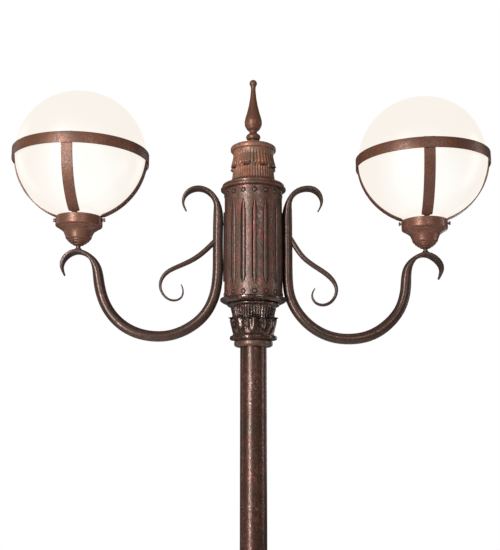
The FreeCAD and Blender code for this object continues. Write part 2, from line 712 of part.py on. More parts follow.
def make_arm(name):
    """The tube's upright and bight, with both ends drawn out flat and bent into hooks."""
    tube_d = 2 * size("tube_r")
    strap = (size("strap_thick"), size("strap_wide"))
    tip = (size("tip_thick"), size("tip_wide"))
    x, low = size("arm_x"), size("arm_low")
    arm = pipe(tube_path(), tube_d / 2)
    lower = trace(x + 2 * size("bight_r"), low, 90.0, [
        (size("lead_r"), -size("lead_turn")), (size("rise_r"), size("lead_turn") - 90),
        (size("fall_r"), -size("fall_turn"))])
    upper = trace(x, low + size("upright"), 90.0, [
        (size("top_rise_r"), -90.0), (size("top_fall_r"), -size("top_fall_turn"))])
    arm = arm.fuse(lofted(lower, [(0, tube_d, tube_d), (0.33, *strap), (0.75, *strap), (1, *tip)]))
    arm = arm.fuse(lofted(upper, [(0, tube_d, tube_d), (0.25, *strap), (0.72, *strap), (1, *tip)]))
    arm = arm.removeSplitter()
    arm = arm.cut(pipe(tube_path(drop=size("tube_r")), tube_d / 2 - size("tube_wall")))
    # the flat and the stem's tapped hole at the top of the lower hook
    reach, seat = size("reach"), size("hook_seat")
    for drop, radius in ((0.0, "stem_foot_r + 1"), (2 * size("strap_thick"), "stem_r")):
        arm = arm.cut(Part.makeCylinder(size(radius), drop + 10, Vector(reach, 0, seat - drop)))
    for height in BAR_SCREW_HEIGHTS:
        arm = arm.cut(rod_along_x(size("arm_x - tube_r") - 2, size("tube_wall") + 3, size("bar_screw_r"),
                                  size(height)))
    return shaped(name, arm)


def make_scroll(name, fall):
    """A tapered bar welded to the upright. It sweeps down and out, then curls up at its end."""
    sweep = 20.0
    stations = trace(size("arm_x"), size("scroll_z"), -fall, [
        (14.0,), (300.0, sweep), (size("scroll_run"),), (48.0, fall - sweep - 90), (43.0, -90.0),
        (28.0, -90.0), (46.0, -24.0)])
    thick, thin = 2 * size("scroll_r"), 2 * size("scroll_tip_r")
    bar = lofted(stations, [(0, thick, thick), (0.45, thick, thick), (1, thin, thin)])
    tube = Part.makeCylinder(size("tube_r"), size("upright") + 100, Vector(size("arm_x"), 0, size("arm_low - 50")))
    return shaped(name, bar.cut(tube))


def make_mount_bar(name):
    """A bar between a flute of the drum and the arm's upright, tapped for two screws."""
    inner, outer = size("drum_r - flute_deep"), size("arm_x")
    half, low, high = size("bar_wide / 2"), size("bar_low"), size("bar_high")
    bar = Part.makeBox(outer - inner, 2 * half, high, Vector(inner, -half, low))
    tube = Part.makeCylinder(size("tube_r"), high, Vector(outer, 0, low))
    bar = bar.cut(tube)
    for height in BAR_SCREW_HEIGHTS:
        bar = bar.cut(rod_along_x(inner, outer - inner, size("bar_screw_r"), size(height)))
    return shaped(name, bar)


def make_bar_screws(name):
    """Two hexagon screws from inside the drum into the mounting bar and the tube's wall."""
    face = size("drum_r - drum_wall")
    screws = []
    for height in BAR_SCREW_HEIGHTS:
        start = face - size("bar_screw_head")
        shank = rod_along_x(start, size("arm_x - tube_r + tube_wall") - start, size("bar_screw_r"), size(height))
        across = size("bar_screw_flat") / math.sqrt(3)
        corners = [Vector(0, across * math.cos(math.radians(60 * index)),
                          size(height) + across * math.sin(math.radians(60 * index))) for index in range(7)]
        seat = size("drum_r - drum_wall") - math.sqrt(size("drum_r - drum_wall") ** 2 - across**2)
        head = Part.Face(Part.makePolygon(corners)).extrude(Vector(size("bar_screw_head") + seat, 0, 0))
        head.translate(Vector(face - size("bar_screw_head") - seat, 0, 0))
        drum = Part.makeCylinder(face + 50, 60, Vector(0, 0, size(height) - 30))
        drum = drum.cut(Part.makeCylinder(face, 60, Vector(0, 0, size(height) - 30)))
        screws.append(shank.fuse(head.cut(drum)).removeSplitter())
    return shaped(name, Part.makeCompound(screws))


# ---------------------------------------------------------------- lamp heads, each about its own stem
def make_stem(name):
    """A threaded tube from the tapped hook up to the lampholder."""
    return standing(name, "-strap_seat", "strap_seat + holder_z", lambda sketch: (
        draw_circle(sketch, "0", "0", "stem_r"), draw_circle(sketch, "0", "0", "stem_bore")))


def make_stem_foot(name):
    return turned(name, [
        ("stem_r", "0"),
        ("stem_foot_r", "0"),
        ("stem_foot_r", "1.5"),
        ("stem_r + 1.5", "stem_foot_high", "5", -1),
        ("stem_r", "stem_foot_high"),
    ])


def make_stem_nut(name):
    """The hexagon nut inside the fitter."""
    low = size("fitter_low + fitter_floor")
    corner = Part.Vertex(Vector(size("stem_nut_flat") / math.sqrt(3), 0, low))
    corners = [spun(corner, 60 * index).Point for index in range(7)]
    prism = Part.Face(Part.makePolygon(corners)).extrude(Vector(0, 0, size("stem_nut_high")))
    return shaped(name, prism.cut(Part.makeCylinder(size("stem_r"), size("stem_nut_high"), Vector(0, 0, low))))


def make_fitter_cup(name):
    """A cast cup: stepped rings at its foot, a bell and a rim drilled for two thumb screws."""
    foot, top, shelf = "fitter_low", "fitter_top", "shelf_z"
    inner_r = "fitter_r - fitter_wall"
    body = turned(name, [
        ("stem_r", foot),
        ("16", foot),
        ("16", f"{foot} + 5", "2.8", 1),
        ("24", f"{foot} + 6"),
        ("24", f"{foot} + 12", "3.2", 1),
        ("29", f"{foot} + 13"),
        ("29", f"{foot} + 19", "3.2", 1),
        ("35", f"{foot} + 22"),
        ("40", f"{foot} + 37", "12", 1),
        ("fitter_r - 14", f"{shelf} - 13", "24", -1),
        ("fitter_r - 9", f"{shelf} - 5", "12", 1),
        ("fitter_r - 1.5", f"{shelf} - 3"),
        ("fitter_r", f"{shelf} - 1"),
        ("fitter_r", f"{top} - 1"),
        ("fitter_r - 1", top),
        (inner_r, top),
        (inner_r, shelf),
        ("globe_neck_r - 8", shelf),
        ("32", f"{foot} + 30"),
        ("holder_r + 1.5", f"{foot} + fitter_floor"),
        ("stem_r", f"{foot} + fitter_floor"),
    ])
    doc.recompute()
    whole = body.Shape.Volume
    hole = radial_hole(body, f"{top} - thumb_z", "thumb_r + slide_gap", "globe_neck_r", "fitter_r + 5")
    repeated(body, [hole], "2")
    check_cut(body, whole)
    return body


def make_globe(name):
    """A blown opal ball, open where its neck begins."""
    inner = "sqrt((globe_r - globe_wall) ^ 2 - (globe_neck_r - globe_wall) ^ 2)"
    return turned(name, [
        ("globe_neck_r", "neck_end"),
        ("globe_r", "globe_z", "globe_r", 1),
        ("0", "globe_z + globe_r", "globe_r", 1),
        ("0", "globe_z + globe_r - globe_wall"),
        ("globe_r - globe_wall", "globe_z", "globe_r - globe_wall", -1),
        ("globe_neck_r - globe_wall", f"globe_z - {inner}", "globe_r - globe_wall", -1),
        ("globe_neck_r - globe_wall", "neck_end"),
    ])


def make_globe_neck(name):
    """The ball's short straight neck, which stands on the fitter's shelf."""
    return standing(name, "shelf_z", "neck_end - (shelf_z)", lambda sketch: (
        draw_circle(sketch, "0", "0", "globe_neck_r"), draw_circle(sketch, "0", "0", "globe_neck_r - globe_wall")))


def make_cage_ring(name):
    return standing(name, "globe_z - ring_drop - strap_w / 2", "strap_w", lambda sketch: (
        draw_circle(sketch, "0", "0", "cage_r"), draw_circle(sketch, "0", "0", "cage_r - strap_t")))


def make_cage_ribs(name):
    """Four straps bent round the globe from the ring to the rim, each with a narrow tongue in the rim."""
    outer, thick = size("rib_r"), size("strap_t")
    middle, top = size("globe_z"), size("fitter_top")
    tongue_r = size("fitter_r - fitter_wall")
    start = math.asin((size("strap_w") / 2 - size("ring_drop")) / outer)
    end = -math.acos(tongue_r / outer)
    change = end + math.radians(size("tongue_turn"))

    def strap(first, last, wide):
        ends = [Vector(r * math.cos(turn), -wide / 2, middle + r * math.sin(turn))
                for r, turn in ((outer, first), (outer, last), (outer - thick, last), (outer - thick, first))]
        half = (first + last) / 2
        arcs = [Vector(r * math.cos(half), -wide / 2, middle + r * math.sin(half))
                for r in (outer, outer - thick)]
        outline = Part.Wire([Part.Arc(ends[0], arcs[0], ends[1]).toShape(), Part.makeLine(ends[1], ends[2]),
                             Part.Arc(ends[2], arcs[1], ends[3]).toShape(), Part.makeLine(ends[3], ends[0])])
        return Part.Face(outline).extrude(Vector(0, wide, 0))

    narrow = size("tongue_w")
    bottom = top - size("tongue_drop")
    tongue_top = middle + outer * math.sin(end) + thick
    tongue = Part.makeBox(thick, narrow, tongue_top - bottom, Vector(tongue_r - thick, -narrow / 2, bottom))
    rib = strap(start, change, size("strap_w")).fuse([strap(change, end, narrow), tongue]).removeSplitter()
    rib = rib.common(Part.makeCylinder(outer, 3 * outer, Vector(0, 0, middle - 1.5 * outer)))
    rim = Part.makeCylinder(size("fitter_r") + 20, top - bottom, Vector(0, 0, bottom))
    rib = rib.cut(rim.cut(Part.makeCylinder(tongue_r, top - bottom, Vector(0, 0, bottom))))
    rib = rib.cut(rod_along_x(0, outer, size("thumb_r + slide_gap"), top - size("thumb_z")))
    return shaped(name, round_the_axis(rib, int(size("rib_count"))))


def make_thumb_screw(name, way):
    """A screw with a round head whose tip keeps the globe's neck in the rim. It points along way * X."""
    tip, head = size("globe_neck_r + tip_gap"), size("fitter_r + thumb_clear")
    end = head + size("thumb_head_t")
    height = size("fitter_top - thumb_z")
    screw = rod_along_x(tip if way > 0 else -head, head - tip, size("thumb_r"), height)
    knob = rod_along_x(head if way > 0 else -end, end - head, size("thumb_head_r"), height)
    return shaped(name, screw.fuse(knob).removeSplitter())


def make_lampholder(name):
    """A porcelain cup on the stem's end."""
    foot = "holder_z"
    return turned(name, [
        ("0", foot),
        ("holder_r - 4", foot),
        ("holder_r", f"{foot} + 6"),
        ("holder_r", f"{foot} + holder_high - 2"),
        ("holder_r - 2", f"{foot} + holder_high", "2", 1),
        ("shell_r", f"{foot} + holder_high"),
        ("shell_r", "shell_z"),
        ("0", "shell_z"),
    ])


def make_screw_shell(name):
    return standing(name, "shell_z", "holder_high - holder_base - 2", lambda sketch: (
        draw_circle(sketch, "0", "0", "shell_r"), draw_circle(sketch, "0", "0", "shell_r - shell_wall")))


def make_contact(name):
    return standing(name, "shell_z", "contact_high", lambda sketch: draw_circle(sketch, "0", "0", "contact_r"))


def make_bulb_cap(name):
    return turned(name, [
        ("0", "cap_z"),
        ("5", "cap_z"),
        ("cap_r", "cap_z + 5"),
        ("cap_r", "cap_z + cap_high"),
        ("0", "cap_z + cap_high"),
    ])


def make_bulb_glass(name):
    foot = "cap_z + cap_high"
    return turned(name, [
        ("0", foot),
        ("cap_r", foot),
        ("bulb_r * 0.8", f"{foot} + bulb_rise - bulb_r * 0.6", "bulb_r * 2", -1),
        ("bulb_r", f"{foot} + bulb_rise", "bulb_r", 1),
        ("0", f"{foot} + bulb_rise + bulb_r", "bulb_r", 1),
    ])


# ---------------------------------------------------------------- the assembly
BAR_SCREW_HEIGHTS = ["bar_low + bar_screw_end", "bar_low + bar_high - bar_screw_end"]

lower_capital = make_capital("lower_capital", "drum_low - rim_high", upside_down=True)
upper_capital = make_capital("upper_capital", "capital_up", upside_down=False)
parts = [
    make_base_plate(),
    make_post_tube(),
    drill_for_grubs(make_base_cover(), "cover_high - 13", 3),
    make_grub_screws("cover_screws", "post_r + 20", "cover_high - 13", 3),
    make_access_door(),
    make_door_screws(),
    make_slip_collar(),
    make_grub_screws("collar_screws", "neck_r - 2", "shaft_top + neck_high / 2", 3),
    lower_capital,
    upper_capital,
    make_drum_floor(),
    make_drum(),
    make_drum_lid(),
    make_crown_cap(),
    make_finial(),
    make_post_plug(),
    make_tie_rod(),
    make_tie_nuts(),
]
HEAD_PIECES = [
    (make_stem, "stem"),
    (make_stem_foot, "stem_foot"),
    (make_stem_nut, "stem_nut"),
    (make_fitter_cup, "fitter_cup"),
    (make_globe, "globe"),
    (make_globe_neck, "globe_neck"),
    (make_cage_ring, "cage_ring"),
    (make_cage_ribs, "cage_ribs"),
    (lambda name: make_thumb_screw(name, -1), "inner_thumb_screw"),
    (lambda name: make_thumb_screw(name, 1), "outer_thumb_screw"),
    (make_lampholder, "lampholder"),
    (make_screw_shell, "screw_shell"),
    (make_contact, "lamp_contact"),
    (make_bulb_cap, "bulb_cap"),
    (make_bulb_glass, "bulb_glass"),
]
for side, half_turn in (("right", 0), ("left", 180)):
    arm_pieces = [
        make_arm(f"{side}_arm"),
        make_scroll(f"{side}_scroll", size(f"{side}_scroll_fall")),
        make_mount_bar(f"{side}_mount_bar"),
        make_bar_screws(f"{side}_bar_screws"),
    ]
    for piece in arm_pieces:
        piece.Placement = Placement(Vector(), Rotation(Vector(0, 0, 1), half_turn))
    turn = half_turn + size(f"{side}_turn")
    across = size("reach") if side == "right" else -size("reach")
    head_pieces = [make(f"{side}_{label}") for make, label in HEAD_PIECES]
    for piece in head_pieces:
        piece.Placement = Placement(Vector(across, 0, size("hook_seat")), Rotation(Vector(0, 0, 1), turn))
    parts += arm_pieces + head_pieces

doc.recompute()
for feature in doc.Objects:
    if {"Invalid", "Error"} & set(feature.State):
        raise RuntimeError(f"{feature.Label}: {feature.State}")
os.makedirs("parts", exist_ok=True)
for part in parts:
    if part.Shape.isNull() or not part.Shape.isValid():
        raise RuntimeError(f"{part.Label}: its shape is not sound")
    part.Shape.exportStep(os.path.join("parts", f"{part.Label}.step"))
    print(f"{part.Label:24s} {len(part.Shape.Solids)} solids {part.Shape.Volume / 1000:9.1f} cm3")
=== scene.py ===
import math
import bpy
import numpy as np
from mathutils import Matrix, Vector


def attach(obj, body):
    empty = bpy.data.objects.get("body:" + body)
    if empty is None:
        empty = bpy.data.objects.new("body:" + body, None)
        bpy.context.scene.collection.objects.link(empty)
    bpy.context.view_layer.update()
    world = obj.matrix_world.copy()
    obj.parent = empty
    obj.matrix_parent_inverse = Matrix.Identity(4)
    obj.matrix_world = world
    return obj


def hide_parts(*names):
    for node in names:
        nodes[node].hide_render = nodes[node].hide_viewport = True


# A two-light street lamp with opal globes. Sizes are in millimetres and angles in degrees, +Z is up,
# the arms lie along X, and meshes are written in metres.

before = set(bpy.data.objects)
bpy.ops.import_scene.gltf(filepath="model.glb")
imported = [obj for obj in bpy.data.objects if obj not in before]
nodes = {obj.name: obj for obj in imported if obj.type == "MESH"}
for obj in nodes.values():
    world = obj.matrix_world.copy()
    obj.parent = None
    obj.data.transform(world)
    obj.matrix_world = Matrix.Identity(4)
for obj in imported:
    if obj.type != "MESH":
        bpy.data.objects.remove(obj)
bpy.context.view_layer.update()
print("frame loaded:", len(nodes), "nodes")

view = {"lens": 55.54, "place": (-113.0, -2430.2, 1417.0), "pitch": 9.855, "yaw": -2.431}


def makeCamera():
    # a camera in front of the post at half height, looking a little up
    data = bpy.data.cameras.new("camera")
    data.lens = view["lens"]
    data.clip_end = 100
    camera = bpy.data.objects.new("camera", data)
    camera.location = [value * 0.001 for value in view["place"]]
    camera.rotation_euler = (math.radians(90 + view["pitch"]), 0, math.radians(view["yaw"]))
    bpy.context.scene.collection.objects.link(camera)
    bpy.context.scene.camera = camera


makeCamera()


def meshFrom(name, points, faces, sharpAngle=38):
    # points in mm and faces as index rows become a smooth-shaded object at the origin
    mesh = bpy.data.meshes.new(name)
    mesh.from_pydata((np.asarray(points, float) * 0.001).tolist(), [], faces)
    mesh.polygons.foreach_set("use_smooth", np.ones(len(mesh.polygons), bool))
    mesh.set_sharp_from_angle(angle=math.radians(sharpAngle))
    mesh.update()
    obj = bpy.data.objects.new(name, mesh)
    bpy.context.scene.collection.objects.link(obj)
    return obj


def stored(mesh, name, values):
    # keeps one number per vertex for the material to read
    layer = mesh.attributes.new(name, "FLOAT", "POINT")
    layer.data.foreach_set("value", np.ascontiguousarray(values, np.float32))


def gridFaces(rows, columns, wrapRows, wrapColumns, first=0):
    # quads between neighbouring points of a rows x columns grid, point number = row * columns + column
    row = np.arange(rows if wrapRows else rows - 1)[:, None]
    column = np.arange(columns if wrapColumns else columns - 1)[None, :]
    nextRow, nextColumn = (row + 1) % rows, (column + 1) % columns
    corners = [row * columns + column, row * columns + nextColumn,
               nextRow * columns + nextColumn, nextRow * columns + column]
    return (np.stack(corners, -1).reshape(-1, 4) + first).tolist()


def roundedProfile(corners, step=12):
    # each corner is (r, z) or (r, z, fillet); a fillet is an arc tangent to the two runs that meet there
    count = len(corners)
    out = []
    for index, corner in enumerate(corners):
        here = np.array(corner[:2], float)
        if len(corner) < 3 or index in (0, count - 1):
            out.append(here)
            continue
        before = np.array(corners[index - 1][:2], float) - here
        after = np.array(corners[index + 1][:2], float) - here
        lengthA, lengthB = np.linalg.norm(before), np.linalg.norm(after)
        before, after = before / lengthA, after / lengthB
        half = math.acos(np.clip(before @ after, -1, 1)) / 2
        reach = min(corner[2] / math.tan(half), 0.49 * lengthA, 0.49 * lengthB)
        radius = reach * math.tan(half)
        centre = here + (before + after) / np.linalg.norm(before + after) * radius / math.sin(half)
        start, stop = here + before * reach - centre, here + after * reach - centre
        a, b = math.atan2(start[1], start[0]), math.atan2(stop[1], stop[0])
        turn = (b - a + math.pi) % (2 * math.pi) - math.pi
        steps = max(2, math.ceil(abs(math.degrees(turn)) / step))
        angles = a + turn * np.arange(steps + 1) / steps
        out.extend(centre + radius * np.stack([np.cos(angles), np.sin(angles)], -1))
    return np.array(out)


def splitLong(profile, longest):
    # long straight runs get points between, so that a surface field can shape them
    out = [profile[0]]
    for point in profile[1:]:
        pieces = max(1, math.ceil(np.linalg.norm(point - out[-1]) / longest))
        start = out[-1]
        out.extend(start + (point - start) * (index + 1) / pieces for index in range(pieces))
    return np.array(out)


def lathe(name, profile, segments=128, field=None, centre=(0, 0, 0), sharpAngle=38):
    # point(k, t) = centre + ((r + field) cos t, (r + field) sin t, z). The profile runs anticlockwise
    # in (r, z), so that faces point outwards; ends on the axis close in one point each, and a profile that
    # keeps off the axis closes on itself. The field gives its growth, then the painted shade share and the
    # blush share
    poleStart, poleEnd = profile[0][0] < 1e-6, profile[-1][0] < 1e-6
    body = profile[int(poleStart):len(profile) - int(poleEnd)]
    turn = 2 * np.pi * np.arange(segments) / segments
    radius = np.repeat(body[:, :1], segments, 1)
    height = np.repeat(body[:, 1:], segments, 1)
    shades = ()
    if field is not None:
        grown, *shades = field(np.degrees(turn)[None, :], height, radius)
        radius = radius + grown
    points = np.stack([radius * np.cos(turn), radius * np.sin(turn), height], -1).reshape(-1, 3)
    faces = gridFaces(len(body), segments, not (poleStart or poleEnd), True)
    faces = [face[::-1] for face in faces]
    last = (len(body) - 1) * segments
    for isPole, end, ring in ((poleStart, 0, 0), (poleEnd, -1, last)):
        if isPole:
            points = np.vstack([points, [[0, 0, profile[end][1]]]])
            pole = len(points) - 1
            fan = [[pole, ring + (k + 1) % segments, ring + k] for k in range(segments)]
            faces += fan if end == 0 else [face[::-1] for face in fan]
    piece = facedOutwards(meshFrom(name, points + np.array(centre), faces, sharpAngle))
    for label, shade in zip(("paintedShade", "blush"), shades):
        stored(piece.data, label, np.resize(shade.reshape(-1), len(points)))
    return piece


def facedOutwards(piece):
    # a closed mesh whose signed volume is negative is turned inside out
    mesh = piece.data
    mesh.calc_loop_triangles()
    where = np.empty(len(mesh.vertices) * 3)
    mesh.vertices.foreach_get("co", where)
    where = where.reshape(-1, 3)
    corner = np.empty(len(mesh.loop_triangles) * 3, np.int32)
    mesh.loop_triangles.foreach_get("vertices", corner)
    a, b, c = (where[corner.reshape(-1, 3)[:, k]] for k in range(3))
    if np.einsum("ij,ij->i", a, np.cross(b, c)).sum() < 0:
        mesh.flip_normals()
    return piece


def splineThrough(knots, count):
    # natural cubic spline through rows of numbers by chord length, sampled evenly along the chords
    knots = np.array(knots, float)
    gaps = np.linalg.norm(np.diff(knots[:, :2], axis=0), axis=1)
    at = np.concatenate([[0], np.cumsum(gaps)])
    size = len(at)
    matrix, right = np.eye(size), np.zeros((size, knots.shape[1]))
    for k in range(1, size - 1):
        matrix[k, k - 1:k + 2] = gaps[k - 1], 2 * (gaps[k - 1] + gaps[k]), gaps[k]
        right[k] = 6 * ((knots[k + 1] - knots[k]) / gaps[k] - (knots[k] - knots[k - 1]) / gaps[k - 1])
    bend = np.linalg.solve(matrix, right)
    wanted = np.linspace(0, at[-1], count)
    cell = np.clip(np.searchsorted(at, wanted, side="right") - 1, 0, size - 2)
    gap, left = gaps[cell][:, None], (wanted - at[cell])[:, None]
    rest = gap - left
    linear = (knots[cell] * rest + knots[cell + 1] * left) / gap
    before, after = rest ** 3 / gap - rest * gap, left ** 3 / gap - left * gap
    return linear + (bend[cell] * before + bend[cell + 1] * after) / 6


def bar(name, stations, side, around=40, centre=(0, 0, 0), spin=0.0):
    # stations are rows (u, z, thickness, width, squareness, channel), u away from the post.
    # section(t) = thickness/2 * c * normal + width/2 * s * Y, with c, s a superellipse of the squareness;
    # a channel above 0 hollows the normal's face and below 0 the other. Both ends close in rounded tips
    line, thick, wide = stations[:, :2], stations[:, 2] / 2, stations[:, 3] / 2
    square, channel = stations[:, 4], stations[:, 5]
    along = np.gradient(line, axis=0)
    along /= np.linalg.norm(along, axis=1)[:, None]
    normal = np.stack([-along[:, 1], along[:, 0]], -1)
    angle = 2 * np.pi * np.arange(around) / around
    circleC, circleS = np.cos(angle), np.sin(angle)
    tips = np.array([0.98, 0.85, 0.55, 0.2])
    caps = np.sqrt(1 - tips[::-1] ** 2)

    def ring(k, scale, push):
        base = line[k] + along[k] * push
        cosine = np.sign(circleC) * np.abs(circleC) ** (2 / square[k])
        sine = np.sign(circleS) * np.abs(circleS) ** (2 / square[k])
        facing = np.clip(circleC * np.sign(channel[k]), 0, 1)
        across = thick[k] * scale * cosine * (1 - abs(channel[k]) * facing ** 2)
        flat = base + normal[k] * across[:, None]
        return np.stack([flat[:, 0], wide[k] * scale * sine, flat[:, 1]], -1)

    rings = [ring(0, s, -thick[0] * p) for s, p in zip(caps, tips)]
    rings += [ring(k, 1.0, 0.0) for k in range(len(line))]
    rings += [ring(len(line) - 1, s, thick[-1] * p) for s, p in zip(caps[::-1], tips[::-1])]
    points = np.array(rings)
    points[..., 0] *= side
    count = len(points)
    points = points.reshape(-1, 3)
    ends = [points[:around].mean(0), points[-around:].mean(0)]
    points = np.vstack([points, ends])
    faces = gridFaces(count, around, False, True)
    last = (count - 1) * around
    faces += [[len(points) - 2, (k + 1) % around, k] for k in range(around)]
    faces += [[len(points) - 1, last + k, last + (k + 1) % around] for k in range(around)]
    turn = math.radians(spin)
    c, s = math.cos(turn), math.sin(turn)
    spun = points @ np.array([[c, s, 0], [-s, c, 0], [0, 0, 1]])
    return facedOutwards(meshFrom(name, spun + np.array(centre), faces))


def joined(name, pieces):
    # several meshes become one piece
    base = pieces[0]
    with bpy.context.temp_override(active_object=base, object=base, selected_objects=pieces,
                                   selected_editable_objects=pieces):
        bpy.ops.object.join()
    base.name = name
    return base


def toLinear(hexColour):
    # sRGB hex to linear colour
    values = [int(hexColour[k:k + 2], 16) / 255 for k in (1, 3, 5)]
    return [v / 12.92 if v <= 0.04045 else ((v + 0.055) / 1.055) ** 2.4 for v in values] + [1.0]


def addNode(tree, kind, settings=None, inputs=None):
    # adds a node; settings are attributes, and an input is a value or another node's output
    node = tree.nodes.new(kind)
    for key, value in (settings or {}).items():
        setattr(node, key, value)
    for key, value in (inputs or {}).items():
        if isinstance(value, bpy.types.NodeSocket):
            tree.links.new(value, node.inputs[key])
        else:
            node.inputs[key].default_value = value
    return node


def newMaterial(name):
    # a material with one principled shader, and the object coordinates that patterns are laid out in
    material = bpy.data.materials.new(name)
    material.use_nodes = True
    tree = material.node_tree
    tree.nodes.clear()
    output = addNode(tree, "ShaderNodeOutputMaterial")
    shader = addNode(tree, "ShaderNodeBsdfPrincipled")
    tree.links.new(shader.outputs[0], output.inputs["Surface"])
    where = addNode(tree, "ShaderNodeTexCoord").outputs["Object"]
    return material, tree, shader, where


# pattern sizes in mm, and the dents' depth in metres. Much finer specks wouldn't show, so they are drawn
# this coarse
glaze = {"patch": 90, "cloud": 26, "speck": 4.5, "hammer": 9.0, "peel": 3.0, "dent": 0.0012}


def agedPaint(name, dark, brown, red, olive, pale, redMost=0.75, oliveMost=0.7, paleMost=0.7, rough=0.42,
              hammer=0.35, metallic=0.3, hollows=True):
    # powder coat over steel or cast aluminium, sponged with a rust glaze and rubbed back: a brown satin film
    # with reddish and olive clouds, pale rubbed grit, dark specks, and painted shade in the hollows and under
    # edges
    material, tree, shader, where = newMaterial(name)
    patterns = {}
    for label, detail, roughness, warp in (("patch", 3.0, 0.55, 0.5), ("cloud", 4.0, 0.6, 0.3),
                                           ("speck", 2.0, 0.75, 0.0), ("hammer", 2.0, 0.5, 0.0),
                                           ("peel", 2.0, 0.6, 0.0)):
        patterns[label] = addNode(tree, "ShaderNodeTexNoise", inputs={
            "Vector": where, "Scale": 1000 / glaze[label], "Detail": detail, "Roughness": roughness,
            "Distortion": warp}).outputs["Fac"]
    for label in ("blush", "paintedShade") if hollows else ():
        # the pieces store where shade is painted and where the paint is rubbed red
        patterns[label] = addNode(tree, "ShaderNodeAttribute", {"attribute_name": label}).outputs["Fac"]
    # each share maps low..high of a pattern to toLow..toHigh, clamped
    shares = {"red": ("cloud", 0.50, 0.64, 0, redMost), "olive": ("patch", 0.52, 0.66, 0, oliveMost),
              "dense": ("patch", 0.62, 0.36, 0.25, 1.0), "pale": ("speck", 0.54, 0.66, 0, paleMost),
              "dark": ("speck", 0.46, 0.32, 0, 0.55),
              "rough": ("speck", 0.3, 0.7, rough + 0.14, rough - 0.10)}
    if hollows:
        shares.update({"blush": ("blush", 0, 1, 0, 0.8), "paintedShade": ("paintedShade", 0, 1, 0, 0.93)})
    for label, (pattern, low, high, toLow, toHigh) in shares.items():
        shares[label] = addNode(tree, "ShaderNodeMapRange", inputs={
            "Value": patterns[pattern], "From Min": low, "From Max": high, "To Min": toLow,
            "To Max": toHigh}).outputs[0]
    # rubbed grit is denser inside broad patches: amount = grit over its threshold * patch share
    shares["pale"] = addNode(tree, "ShaderNodeMath", {"operation": "MULTIPLY"},
                             {0: shares["pale"], 1: shares["dense"]}).outputs[0]
    base = toLinear(brown)
    # the last layer lays painted shade, in the dark colour, where the pieces ask for it
    layers = [("red", red), ("olive", olive), ("pale", pale), ("dark", dark), ("blush", red),
              ("paintedShade", dark)]
    for label, colour in layers if hollows else layers[:4]:
        base = addNode(tree, "ShaderNodeMix", {"data_type": "RGBA"},
                       {0: shares[label], 6: base, 7: toLinear(colour)}).outputs[2]
    tree.links.new(base, shader.inputs["Base Color"])
    shader.inputs["Metallic"].default_value = metallic
    tree.links.new(shares["rough"], shader.inputs["Roughness"])
    height = addNode(tree, "ShaderNodeMath", {"operation": "MULTIPLY_ADD"},
                     {0: patterns["peel"], 1: 0.3, 2: patterns["hammer"]}).outputs[0]
    bump = addNode(tree, "ShaderNodeBump",
                   inputs={"Height": height, "Strength": hammer, "Distance": glaze["dent"]})
    tree.links.new(bump.outputs[0], shader.inputs["Normal"])
    return material


def plainMetal(name, light, dark, rough, metallic=1.0, grainMm=3.0):
    # bare or plated metal with a fine mottle
    material, tree, shader, where = newMaterial(name)
    grain = addNode(tree, "ShaderNodeTexNoise", inputs={
        "Vector": where, "Scale": 1000 / grainMm, "Detail": 3.0, "Roughness": 0.55}).outputs["Fac"]
    shade = addNode(tree, "ShaderNodeValToRGB", inputs={"Fac": grain})
    for element, place, colour in zip(shade.color_ramp.elements, (0.3, 0.7), (dark, light)):
        element.position, element.color = place, toLinear(colour)
    tree.links.new(shade.outputs["Color"], shader.inputs["Base Color"])
    shader.inputs["Metallic"].default_value = metallic
    roughness = addNode(tree, "ShaderNodeMapRange", inputs={
        "Value": grain, "To Min": rough - 0.08, "To Max": rough + 0.1}).outputs[0]
    tree.links.new(roughness, shader.inputs["Roughness"])
    bump = addNode(tree, "ShaderNodeBump", inputs={"Height": grain, "Strength": 0.15, "Distance": 0.0003})
    tree.links.new(bump.outputs[0], shader.inputs["Normal"])
    return material


opal = {"core": 0.04, "fade": 0.17, "milkMm": 60, "milk": 0.12, "glow": 0.97}


def opalAcrylic(name, hotSpot):
    # blown opal acrylic lit from inside: a milky satin white that glows by emission, with a painted highlight
    # brightest within core metres of a hot spot and fading out by fade metres
    material, tree, shader, where = newMaterial(name)
    offset = addNode(tree, "ShaderNodeVectorMath", {"operation": "DISTANCE"},
                     {0: where, 1: hotSpot}).outputs["Value"]
    # share of the painted highlight round the hot spot
    paintedHotSpotShare = addNode(tree, "ShaderNodeMapRange", {"interpolation_type": "SMOOTHSTEP"}, {
        "Value": offset, "From Min": opal["core"], "From Max": opal["fade"],
        "To Min": 1.0, "To Max": 0.0}).outputs[0]
    cloud = addNode(tree, "ShaderNodeTexNoise", inputs={
        "Vector": where, "Scale": 1000 / opal["milkMm"], "Detail": 2.0, "Roughness": 0.55}).outputs["Fac"]
    milk = addNode(tree, "ShaderNodeMath", {"operation": "MULTIPLY"}, {0: cloud, 1: opal["milk"]}).outputs[0]
    glow = toLinear("#f9f3eb")
    for share, colour in ((paintedHotSpotShare, "#fffffa"), (milk, "#fbefe0")):
        glow = addNode(tree, "ShaderNodeMix", {"data_type": "RGBA"},
                       {0: share, 6: glow, 7: toLinear(colour)}).outputs[2]
    tree.links.new(glow, shader.inputs["Emission Color"])
    shader.inputs["Emission Strength"].default_value = opal["glow"]
    shader.inputs["Base Color"].default_value = toLinear("#24211f")
    shader.inputs["Roughness"].default_value = 0.35
    shader.inputs["IOR"].default_value = 1.49
    return material


